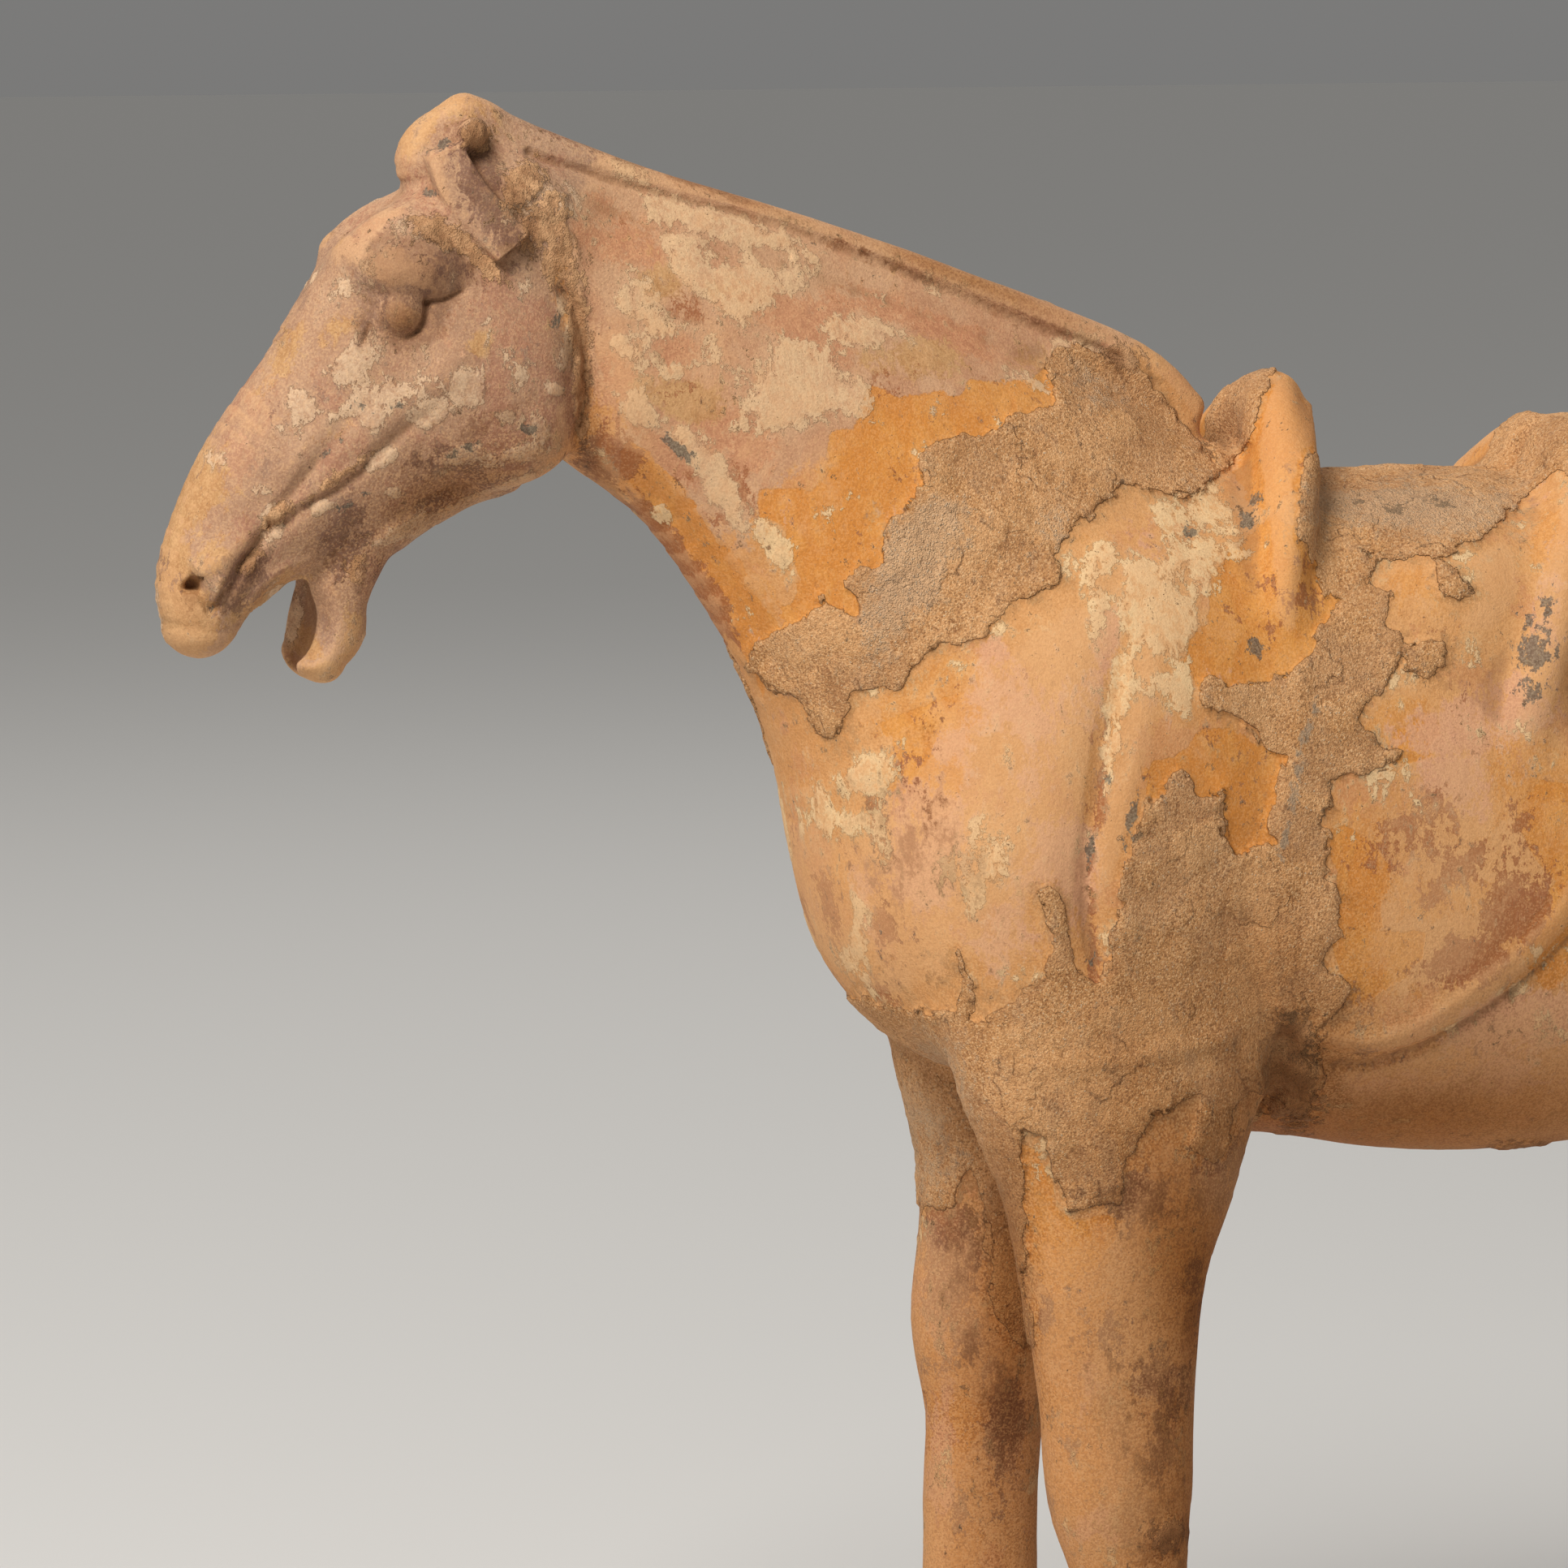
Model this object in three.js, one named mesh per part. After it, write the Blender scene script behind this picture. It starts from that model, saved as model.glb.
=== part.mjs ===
// A painted pottery tomb horse of the Tang kind, standing on a low slab.
// Millimetres, +Z up, the head towards -X. The origin is the centre of the slab's underside.
//
// The horse is one soft form: anatomical forms are blended into a distance field, the field's zero
// surface is meshed on a grid, and the mesh is then thinned where the surface is calm.
import * as THREE from "three";

// Driving dimensions
const HORSE_HEIGHT = 490; // from the soles to the peak of the mane between the ears
const BARREL_WIDTH = 124; // across the ribs
const STANCE_WIDTH = 80; // between the middles of a left and a right leg
const HOOF_LENGTH = 42; // of a sole, heel to toe
const HOOF_WIDTH = 36;
const HOOF_HEIGHT = 24;
const PLINTH_THICKNESS = 12;
const PLINTH_END_MARGIN = 22; // from the foremost toe, and the rearmost heel, to the slab's end
const PLINTH_SIDE_MARGIN = 6; // from a sole to the slab's side
const PLINTH_CORNER = 9; // radius of the slab's corners seen from above
const PLINTH_EDGE = 2.4; // rounding along the slab's rims
const SOLE_GAP = 0.3; // between the soles and the slab

// How finely the surface is meshed
const GRID_STEP = 2.5; // at the drawn height
const HORSE_FACES = 9400;

// Everything below is drawn at this height and scaled to the real one.
const DRAWN_HEIGHT = 490;
const UNIT = HORSE_HEIGHT / DRAWN_HEIGHT;
const DRAWN_BARREL = 124;
const BROAD = BARREL_WIDTH / UNIT / DRAWN_BARREL; // how much wider than drawn the trunk is
const LEG_Y = STANCE_WIDTH / UNIT / 2;
const HOOF = { length: HOOF_LENGTH / UNIT, width: HOOF_WIDTH / UNIT, height: HOOF_HEIGHT / UNIT };

const NEVER = 99; // a distance further than any form reaches
const TINY = 1e-6;

const clamp = (v, low, high) => Math.min(high, Math.max(low, v));
const mix = (a, b, t) => a + (b - a) * t;
const ease = (t) => {
  const s = clamp(t, 0, 1);
  return s * s * (3 - 2 * s);
};

// The union of two distances, rounded over a width of about k.
function join(a, b, k) {
  const h = Math.max(k - Math.abs(a - b), 0) / k;
  return Math.min(a, b) - (h * h * k) / 4;
}

// A smooth curve through rows of numbers, given as many more rows.
function smoothRows(rows, steps, closed = false) {
  const count = rows.length;
  const at = (i) => (closed ? rows[(i + count) % count] : rows[clamp(i, 0, count - 1)]);
  const made = [];
  for (let i = 0; i < (closed ? count : count - 1); i++) {
    const [p, q, r, s] = [at(i - 1), at(i), at(i + 1), at(i + 2)];
    for (let k = 0; k < steps; k++) {
      const t = k / steps;
      made.push(
        q.map((_, c) => {
          const slope = r[c] - p[c];
          const bend = 2 * p[c] - 5 * q[c] + 4 * r[c] - s[c];
          const twist = 3 * q[c] - p[c] - 3 * r[c] + s[c];
          return q[c] + 0.5 * (slope * t + bend * t * t + twist * t * t * t);
        }),
      );
    }
  }
  made.push(closed ? made[0] : rows[count - 1]);
  return made;
}

// A polyline of rows [x, z, ...] that answers which of its points is nearest to (x, z).
function track(rows) {
  const last = rows.length - 1;
  const xs = Float64Array.from(rows, (r) => r[0]);
  const zs = Float64Array.from(rows, (r) => r[1]);
  const found = { d2: 0, i: 0, t: 0, raw: 0 };
  return (x, z) => {
    found.d2 = Infinity;
    for (let i = 0; i < last; i++) {
      const dx = xs[i + 1] - xs[i];
      const dz = zs[i + 1] - zs[i];
      const raw = ((x - xs[i]) * dx + (z - zs[i]) * dz) / (dx * dx + dz * dz);
      const t = raw < 0 ? 0 : raw > 1 ? 1 : raw;
      const ex = x - xs[i] - dx * t;
      const ez = z - zs[i] - dz * t;
      const d2 = ex * ex + ez * ez;
      if (d2 < found.d2) {
        found.d2 = d2;
        found.i = i;
        found.t = t;
        found.raw = raw;
      }
    }
    return found;
  };
}

// A form has at(x, y, z), the distance to its surface, and the box that it lies in.

// A soft tube along a spine in the side plane. A station is [x, z, depth, width, y, lean]: its middle,
// its half depth across the spine, its half width along Y, its offset in Y, and how much wider the
// side to the left of the spine's way is than the other. cap is how far the rounded ends reach, as a
// share of the depth, and power makes the section squarer.
function sweep(stations, { cap = 0.8, power = 2 } = {}) {
  const full = stations.map(([x, z, depth, width, y = 0, lean = 0]) => [x, z, depth, width, y, lean]);
  const rows = smoothRows(full, 5);
  const nearest = track(rows);
  const last = rows.length - 2;
  const at = (x, y, z) => {
    const n = nearest(x, z);
    const a = rows[n.i];
    const b = rows[n.i + 1];
    const length = Math.hypot(b[0] - a[0], b[1] - a[1]);
    const tx = (b[0] - a[0]) / length;
    const tz = (b[1] - a[1]) / length;
    const px = x - mix(a[0], b[0], n.t);
    const pz = z - mix(a[1], b[1], n.t);
    const depth = mix(a[2], b[2], n.t);
    const side = pz * tx - px * tz;
    const past = (n.i === 0 && n.raw < 0) || (n.i === last && n.raw > 1);
    const along = past ? px * tx + pz * tz : 0;
    const u = past ? side : Math.sign(side) * Math.sqrt(n.d2);
    const v = y - mix(a[4], b[4], n.t);
    const width = mix(a[3], b[3], n.t) * (1 + mix(a[5], b[5], n.t) * clamp(u / depth, -1, 1));
    const shares = [u / depth, v / width, along / (depth * cap)];
    const total = shares.reduce((sum, share) => sum + Math.abs(share) ** power, 0);
    const k = total ** (1 / power);
    const out = Math.sqrt(u * u + v * v + along * along);
    return k < TINY ? -Math.min(depth, width) : ((k - 1) * out) / k;
  };
  const reach = rows.map((r) => Math.max(r[2], r[2] * cap));
  const extent = (pick, sign) => sign * Math.max(...rows.map((r, i) => sign * r[pick] + reach[i]));
  const wide = (sign) => sign * Math.max(...rows.map((r) => sign * r[4] + r[3] * (1 + Math.abs(r[5]))));
  return { at, low: [extent(0, -1), wide(-1), extent(1, -1)], high: [extent(0, 1), wide(1), extent(1, 1)] };
}

// An ellipsoid with its middle at [x, y, z] and half sizes [a, b, c], tilted in the side plane.
function egg([cx, cy, cz], [a, b, c], tilt = 0) {
  const cos = Math.cos(tilt);
  const sin = Math.sin(tilt);
  const at = (x, y, z) => {
    const p = (x - cx) * cos + (z - cz) * sin;
    const q = (z - cz) * cos - (x - cx) * sin;
    const v = y - cy;
    const k = Math.sqrt((p / a) ** 2 + (v / b) ** 2 + (q / c) ** 2);
    const g = Math.sqrt((p / (a * a)) ** 2 + (v / (b * b)) ** 2 + (q / (c * c)) ** 2);
    return g < TINY * TINY ? -Math.min(a, b, c) : (k * (k - 1)) / g;
  };
  const long = Math.max(a, c);
  return { at, low: [cx - long, cy - b, cz - long], high: [cx + long, cy + b, cz + long] };
}

// The same form on both sides of the middle plane, drawn on the side where y is positive.
function paired({ at, low, high }) {
  return {
    at: (x, y, z) => at(x, Math.abs(y), z),
    low: [low[0], -high[1], low[2]],
    high,
  };
}

// A form whose spine was drawn as seen from the front, on both sides: its x and y change places.
function arched({ at, low, high }) {
  return {
    at: (x, y, z) => at(Math.abs(y), x, z),
    low: [low[1], -high[0], low[2]],
    high: [high[1], high[0], high[2]],
  };
}

// A line drawn on the sides, as rows [x, z]: 1 on it, falling to 0 at half its width.
function line(points, width) {
  const nearest = track(smoothRows(points, 4));
  return (x, z) => {
    const d = Math.sqrt(nearest(x, z).d2) / (width / 2);
    return d > 1 ? 0 : 1 - ease(d);
  };
}

// An area outlined on the sides: 1 well inside, 0 outside, easing over the soft width.
function area(points, soft) {
  const rows = smoothRows(points, 4, true);
  const nearest = track(rows);
  return (x, z) => {
    const d = Math.sqrt(nearest(x, z).d2);
    let inside = false;
    for (let i = 0; i < rows.length - 1; i++) {
      const [ax, az] = rows[i];
      const [bx, bz] = rows[i + 1];
      const between = az > z !== bz > z;
      if (between && x < ((bx - ax) * (z - az)) / (bz - az) + ax) inside = !inside;
    }
    return ease(0.5 + (inside ? d : -d) / soft);
  };
}

// One step of building the horse up: a form is joined to what is there or cut out of it, rounded over
// the blend.
const add = (form, blend) => ({ form, blend, cuts: false });
const remove = (form, blend) => ({ form, blend, cuts: true });

function distanceAt(steps, x, y, z) {
  let d = NEVER;
  for (const { form, blend, cuts } of steps) {
    const other = form.at(x, y, z);
    d = cuts ? -join(-d, other, blend) : join(d, other, blend);
  }
  return d;
}

// A grid of distances around the surface. It goes block by block, and a block takes only the forms
// that reach it; one that lies far inside or outside gets a single value.
const BLOCK = 4; // grid steps along a block's side
const REACH = 2.5; // how many times its blend a form is felt around its box
const DEEP = 1.8; // how many block sizes below the surface a block's middle has to be to be skipped
function gridOf({ steps, finish }, low, high, step) {
  const size = high.map((h, k) => Math.ceil((h - low[k]) / step / BLOCK) * BLOCK);
  const values = new Float32Array(size[0] * size[1] * size[2]).fill(NEVER);
  const span = BLOCK * step;
  for (let k = 0; k < size[2]; k += BLOCK)
    for (let j = 0; j < size[1]; j += BLOCK)
      for (let i = 0; i < size[0]; i += BLOCK) {
        const from = [low[0] + i * step, low[1] + j * step, low[2] + k * step];
        const near = steps.filter(({ form, blend }) =>
          from.every((f, c) => f + span > form.low[c] - REACH * blend && f < form.high[c] + REACH * blend),
        );
        if (!near.some((one) => !one.cuts)) continue;
        const middle = distanceAt(near, from[0] + span / 2, from[1] + span / 2, from[2] + span / 2);
        const skip = Math.abs(middle) > DEEP * span;
        for (let c = 0; c < BLOCK; c++)
          for (let b = 0; b < BLOCK; b++)
            for (let a = 0; a < BLOCK; a++) {
              const at = ((k + c) * size[1] + j + b) * size[0] + i + a;
              const [x, y, z] = [from[0] + a * step, from[1] + b * step, from[2] + c * step];
              values[at] = skip ? middle : finish(distanceAt(near, x, y, z), x, y, z);
            }
      }
  return { values, size };
}

// The corners of a grid cell are numbered by three bits, for x, y and z.
const CORNERS = [0, 1, 2, 3, 4, 5, 6, 7];
const EDGES = CORNERS.flatMap((a) => [1, 2, 4].filter((bit) => !(a & bit)).map((bit) => [a, a | bit]));
const SIDES = [
  [1, 2, 4],
  [2, 4, 1],
  [4, 1, 2],
].flatMap(([p, q, r]) => [0, r].map((f) => [f, f | p, f | p | q, f | q]));

// The zero surface of a grid of distances as a closed mesh, with one vertex in each cell that it
// crosses. Cells where two sheets would touch along an edge are filled in first.
const FILLED = -0.1; // the distance that a filled in corner gets
function surfaceOf({ values, size }, low, step) {
  const [nx, ny, nz] = size;
  const stride = [1, nx, nx * ny];
  const offset = CORNERS.map((c) => {
    const step = [c & 1, (c >> 1) & 1, c >> 2];
    return step[0] * stride[0] + step[1] * stride[1] + step[2] * stride[2];
  });
  const crossed = () => {
    const found = [];
    for (let k = 0; k < nz - 1; k++)
      for (let j = 0; j < ny - 1; j++)
        for (let i = 0; i < nx - 1; i++) {
          const at = k * stride[2] + j * stride[1] + i;
          let inside = 0;
          for (const o of offset) if (values[at + o] < 0) inside++;
          if (inside > 0 && inside < 8) found.push(at);
        }
    return found;
  };
  const inside = (at, corner) => values[at + offset[corner]] < 0;
  let cells = crossed();
  for (let changed = true; changed; ) {
    changed = false;
    for (const at of cells)
      for (const [a, b, c, d] of SIDES) {
        if (inside(at, a) !== inside(at, c) || inside(at, b) !== inside(at, d)) continue;
        if (inside(at, a) === inside(at, b)) continue;
        values[at + offset[inside(at, a) ? b : a]] = FILLED;
        changed = true;
      }
    if (changed) cells = crossed();
  }

  const vertexOf = new Map();
  const points = [];
  const v = new Float64Array(8);
  for (const at of cells) {
    for (const c of CORNERS) v[c] = values[at + offset[c]];
    const sum = [0, 0, 0];
    let count = 0;
    for (const [a, b] of EDGES) {
      if (v[a] < 0 === v[b] < 0) continue;
      const t = v[a] / (v[a] - v[b]);
      for (let c = 0; c < 3; c++) sum[c] += mix((a >> c) & 1, (b >> c) & 1, t);
      count++;
    }
    vertexOf.set(at, points.length / 3);
    const cell = [at % nx, Math.floor(at / nx) % ny, Math.floor(at / stride[2])];
    for (let c = 0; c < 3; c++) points.push(low[c] + (cell[c] + sum[c] / count) * step);
  }
  const faces = [];
  for (const at of cells)
    for (let a = 0; a < 3; a++) {
      const filled = values[at] < 0;
      if (filled === values[at + stride[a]] < 0) continue;
      const [b, c] = [stride[(a + 1) % 3], stride[(a + 2) % 3]];
      const quad = [at - b - c, at - c, at, at - b].map((one) => vertexOf.get(one));
      if (!filled) quad.reverse();
      faces.push(quad[0], quad[1], quad[2], quad[0], quad[2], quad[3]);
    }
  return { points, faces };
}

// Thins a closed mesh to the wanted number of faces. Each step merges the two neighbours whose merging
// moves the surface least, measured by the planes of the faces that they stand for.
const FOLD = 0.3; // the least cosine between a face's old and new direction
const SLIVER = 1e-3; // twice the least area that a face may get
const TERMS = 10; // numbers in the sum of squared distances to planes
function thin({ points, faces }, wanted, weight) {
  const count = points.length / 3;
  const pos = Float64Array.from(points);
  const tri = Int32Array.from(faces);
  const alive = new Uint8Array(tri.length / 3).fill(1);
  const around = Array.from({ length: count }, () => []);
  for (let i = 0; i < tri.length; i++) around[tri[i]].push(Math.floor(i / 3));
  const stamp = new Int32Array(count);
  const gone = new Uint8Array(count);
  const quadric = new Float64Array(count * TERMS);

  // The direction and twice the area of a face, with one vertex moved to a place if it has that vertex
  const normal = new Float64Array(4);
  const p = new Float64Array(9);
  function measure(f, moved, x, y, z) {
    for (let c = 0; c < 3; c++) {
      const v = tri[f * 3 + c];
      p[c * 3] = v === moved ? x : pos[v * 3];
      p[c * 3 + 1] = v === moved ? y : pos[v * 3 + 1];
      p[c * 3 + 2] = v === moved ? z : pos[v * 3 + 2];
    }
    const [ux, uy, uz] = [p[3] - p[0], p[4] - p[1], p[5] - p[2]];
    const [wx, wy, wz] = [p[6] - p[0], p[7] - p[1], p[8] - p[2]];
    const nx = uy * wz - uz * wy;
    const ny = uz * wx - ux * wz;
    const nz = ux * wy - uy * wx;
    const size = Math.sqrt(nx * nx + ny * ny + nz * nz);
    const scale = size > 0 ? 1 / size : 0;
    normal[0] = nx * scale;
    normal[1] = ny * scale;
    normal[2] = nz * scale;
    normal[3] = size;
  }
  for (let f = 0; f < alive.length; f++) {
    measure(f, -1, 0, 0, 0);
    const [a, b, c, size] = normal;
    const d = -(a * p[0] + b * p[1] + c * p[2]);
    const heavy = size * weight(p[0], p[1], p[2]);
    const terms = [a * a, a * b, a * c, a * d, b * b, b * c, b * d, c * c, c * d, d * d];
    for (let k = 0; k < 3; k++) {
      const start = tri[f * 3 + k] * TERMS;
      for (let t = 0; t < TERMS; t++) quadric[start + t] += terms[t] * heavy;
    }
  }

  // Where the merged vertex of a and b would lie, and what that costs
  const q = new Float64Array(TERMS);
  const cost = (x, y, z) => {
    const squares = q[0] * x * x + q[4] * y * y + q[7] * z * z;
    const mixed = q[1] * x * y + q[2] * x * z + q[5] * y * z;
    return squares + 2 * (mixed + q[3] * x + q[6] * y + q[8] * z) + q[9];
  };
  function settle(a, b) {
    for (let t = 0; t < TERMS; t++) q[t] = quadric[a * TERMS + t] + quadric[b * TERMS + t];
    const [ax, ay, az] = [pos[a * 3], pos[a * 3 + 1], pos[a * 3 + 2]];
    const [bx, by, bz] = [pos[b * 3], pos[b * 3 + 1], pos[b * 3 + 2]];
    const best = { x: (ax + bx) / 2, y: (ay + by) / 2, z: (az + bz) / 2, cost: 0 };
    best.cost = cost(best.x, best.y, best.z);
    const tryOut = (x, y, z) => {
      const price = cost(x, y, z);
      if (price < best.cost) Object.assign(best, { x, y, z, cost: price });
    };
    tryOut(ax, ay, az);
    tryOut(bx, by, bz);
    const c0 = q[4] * q[7] - q[5] * q[5];
    const c1 = q[2] * q[5] - q[1] * q[7];
    const c2 = q[1] * q[5] - q[2] * q[4];
    const det = q[0] * c0 + q[1] * c1 + q[2] * c2;
    const trace = q[0] + q[4] + q[7];
    if (Math.abs(det) > TINY * trace ** 3) {
      const c3 = q[0] * q[7] - q[2] * q[2];
      const c4 = q[1] * q[2] - q[0] * q[5];
      const c5 = q[0] * q[4] - q[1] * q[1];
      const x = -(c0 * q[3] + c1 * q[6] + c2 * q[8]) / det;
      const y = -(c1 * q[3] + c3 * q[6] + c4 * q[8]) / det;
      const z = -(c2 * q[3] + c4 * q[6] + c5 * q[8]) / det;
      tryOut(x, y, z);
    }
    return best;
  }

  const heap = [];
  function push(item) {
    let i = heap.push(item) - 1;
    while (i > 0) {
      const up = (i - 1) >> 1;
      if (heap[up].cost <= item.cost) break;
      heap[i] = heap[up];
      i = up;
    }
    heap[i] = item;
  }
  function pop() {
    const top = heap[0];
    const item = heap.pop();
    const size = heap.length;
    if (size === 0) return top;
    let i = 0;
    for (let next = 1; next < size; next = 2 * i + 1) {
      if (next + 1 < size && heap[next + 1].cost < heap[next].cost) next++;
      if (heap[next].cost >= item.cost) break;
      heap[i] = heap[next];
      i = next;
    }
    heap[i] = item;
    return top;
  }
  const neighbours = (v) => {
    const found = new Set();
    for (const f of around[v]) {
      if (alive[f]) found.add(tri[f * 3]).add(tri[f * 3 + 1]).add(tri[f * 3 + 2]);
    }
    found.delete(v);
    return found;
  };
  const holds = (f, v) => tri[f * 3] === v || tri[f * 3 + 1] === v || tri[f * 3 + 2] === v;
  const offer = (a, b) => push(Object.assign(settle(a, b), { a, b, stamp: stamp[a] + stamp[b] }));
  for (let v = 0; v < count; v++) {
    for (const u of neighbours(v)) if (v < u) offer(v, u);
  }

  // Whether moving v to a place would turn one of its faces over; faces shared with the other go away
  const folds = (v, other, { x, y, z }) =>
    around[v].some((f) => {
      if (!alive[f] || holds(f, other)) return false;
      measure(f, -1, 0, 0, 0);
      const [nx, ny, nz] = normal;
      measure(f, v, x, y, z);
      return normal[3] < SLIVER || nx * normal[0] + ny * normal[1] + nz * normal[2] < FOLD;
    });

  let left = alive.length;
  while (left > wanted && heap.length) {
    const best = pop();
    const { a, b } = best;
    if (gone[a] || gone[b] || stamp[a] + stamp[b] !== best.stamp) continue;
    const beside = neighbours(b);
    let shared = 0;
    for (const v of neighbours(a)) if (beside.has(v)) shared++;
    if (shared !== 2 || folds(a, b, best) || folds(b, a, best)) continue;
    pos.set([best.x, best.y, best.z], a * 3);
    for (let t = 0; t < TERMS; t++) quadric[a * TERMS + t] += quadric[b * TERMS + t];
    gone[b] = 1;
    for (const f of around[b]) {
      if (!alive[f]) continue;
      if (holds(f, a)) {
        alive[f] = 0;
        left--;
        continue;
      }
      for (let c = 0; c < 3; c++) if (tri[f * 3 + c] === b) tri[f * 3 + c] = a;
      around[a].push(f);
    }
    around[a] = around[a].filter((f) => alive[f]);
    stamp[a]++;
    for (const v of neighbours(a)) offer(a, v);
  }
  const used = [];
  for (let f = 0; f < alive.length; f++) {
    if (alive[f]) used.push(tri[f * 3], tri[f * 3 + 1], tri[f * 3 + 2]);
  }
  return { points: pos, faces: used };
}

// A mesh with only the vertices that its faces use
function geometryOf({ points, faces }) {
  const kept = [...new Set(faces)];
  const place = new Map(kept.map((v, i) => [v, i]));
  const positions = kept.flatMap((v) => [points[v * 3], points[v * 3 + 1], points[v * 3 + 2]]);
  const geometry = new THREE.BufferGeometry();
  geometry.setAttribute("position", new THREE.Float32BufferAttribute(positions, 3));
  geometry.setIndex(faces.map((v) => place.get(v)));
  return geometry;
}

// The horse's forms, in drawn millimetres above the soles

const trunk = sweep(
  [
    [-152, 290, 58, 52],
    [-112, 292, 82, 57, 0, -0.05],
    [-66, 290, 86.5, 61, 0, -0.08],
    [-14, 287, 91, 62, 0, -0.1],
    [42, 292, 91, 62, 0, -0.08],
    [92, 304, 85, 60, 0, -0.05],
    [128, 309, 70, 54],
    [146, 308, 55, 46],
  ].map(([x, z, depth, width, y, lean]) => [x, z, depth, width * BROAD, y, lean]),
  { power: 2.2, cap: 0.6 },
);
const breast = egg([-157, 0, 284], [41.5, 54 * BROAD, 51]);
const neck = sweep([
  [-276, 444, 27, 19],
  [-258, 429, 36, 22, 0, -0.12],
  [-222, 409, 42, 27, 0, -0.2],
  [-189, 384.8, 54.5, 35, 0, -0.22],
  [-158, 356.8, 68.5, 46, 0, -0.2],
  [-124, 322, 82, 53, 0, -0.12],
]);
const skull = sweep(
  [
    [-286, 455, 24, 19.5],
    [-301, 429, 35, 23.5, 0, 0.05],
    [-321.5, 406.5, 31.5, 22, 0, 0.1],
    [-340, 391.5, 25, 19.5, 0, 0.05],
    [-353, 378, 20, 16.5],
    [-363, 364, 14.2, 15.5],
    [-365, 353.5, 10, 13],
  ],
  { power: 2.2, cap: 0.85 },
);
const lowerJaw = sweep(
  [
    [-318, 384, 9, 14],
    [-325, 372, 8.5, 12.5],
    [-331, 360, 9.2, 12],
    [-336.8, 345.8, 8.5, 11],
  ],
  { cap: 0.9, power: 3 },
);
const mane = sweep(
  [
    [-295, 481.5, 8, 7.5],
    [-281, 474.5, 8, 7.5],
    [-267, 468.5, 8, 7.5],
    [-245, 461, 8, 7.5],
    [-200, 447.5, 8, 7.5],
    [-155, 431.8, 8, 7.5],
    [-112, 414.5, 8, 7.5],
    [-96, 402, 7, 7],
  ],
  { power: 2.4 },
);

// The hooves' middles on the ground
const NEAR = -1;
const FAR = 1;
const FORE_HOOF_NEAR = -131;
const FORE_HOOF_FAR = -147;
const HIND_HOOF = 132;
const TOE_LEAN = 5; // how far the coronet stands behind the middle of the sole
const PASTERN_SUNK = 6; // how deep the pastern runs on into the hoof
const PASTERN_DEPTH = 13;
const PASTERN_WIDTH = 12.5;

// A leg: stations [x, z, depth, width, how far out from the stance] from the body down to the pastern,
// and then one inside the hoof, whose middle is at hoofX.
function leg(side, hoofX, stations) {
  const rows = stations.map(([x, z, depth, width, out = 0]) => [x, z, depth, width, side * (LEG_Y + out)]);
  const sunk = [hoofX + TOE_LEAN, HOOF.height - PASTERN_SUNK, PASTERN_DEPTH, PASTERN_WIDTH, side * LEG_Y];
  return sweep([...rows, sunk], { cap: 0.7, power: 2.1 });
}
const foreNear = leg(NEAR, FORE_HOOF_NEAR, [
  [-131.8, 262, 44, 24, -4],
  [-128.8, 230, 43, 24, -1],
  [-127.8, 203, 34, 22],
  [-128.8, 176, 26, 19.5],
  [-127.8, 143, 22, 17],
  [-126.8, 116, 20.5, 16.5],
  [-123.8, 94, 16.5, 13.5],
  [-122.8, 68, 14.5, 12.5],
  [-122.8, 48, 16.5, 14],
  [-126.3, 34, 14.5, 13.5],
]);
const foreFar = leg(FAR, FORE_HOOF_FAR, [
  [-133, 262, 42, 24, -4],
  [-133, 226, 31, 23, -1],
  [-132.5, 200, 25, 20],
  [-134, 176, 21.5, 18],
  [-136, 147, 22, 17.5],
  [-136.5, 121, 17.5, 14],
  [-137.5, 98, 17, 13],
  [-137.5, 74, 17, 13.5],
  [-138, 51, 17.5, 14.5],
  [-142, 34, 15, 14],
]);
const HIND = [
  [118, 292, 58, 26, -6],
  [116, 254, 50, 26, -3],
  [118, 218, 38, 23],
  [131, 182, 27, 19.5],
  [147, 150, 21.5, 17],
  [152, 130, 20, 16],
  [149, 108, 16, 14],
  [145, 78, 14.5, 13],
  [143, 52, 17, 14.5],
  [138, 35, 14.5, 14],
];
const hindNear = leg(NEAR, HIND_HOOF, HIND);
const hindFar = leg(FAR, HIND_HOOF, HIND);

const HOOVES = [
  { x: FORE_HOOF_NEAR, side: NEAR },
  { x: FORE_HOOF_FAR, side: FAR },
  { x: HIND_HOOF, side: NEAR },
  { x: HIND_HOOF, side: FAR },
];
const CORONET = 0.78; // the coronet's size as a share of the sole's
const SOLE_EXTRA = 4; // the hooves run on below the soles, and are then cut off flat
function hoof({ x: cx, side }) {
  const cy = side * LEG_Y;
  const at = (x, y, z) => {
    const up = clamp(z / HOOF.height, 0, 1);
    const half = mix(1, CORONET, up) / 2;
    const p = (x - cx - TOE_LEAN * up) / (HOOF.length * half);
    const q = (y - cy) / (HOOF.width * half);
    const k = Math.hypot(p, q);
    return Math.max((k - 1) * HOOF.width * half, z - HOOF.height, -SOLE_EXTRA - z);
  };
  const [dx, dy] = [HOOF.length / 2 + TOE_LEAN, HOOF.width / 2];
  return { at, low: [cx - dx, cy - dy, -SOLE_EXTRA], high: [cx + dx, cy + dy, HOOF.height] };
}

const tail = sweep([
  [158, 362, 9, 10],
  [176, 355, 9.5, 10],
  [187, 335, 10, 10.5],
  [188, 312, 8, 9],
  [186, 292, 10.5, 11],
  [185, 272, 5.5, 6],
]);

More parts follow.
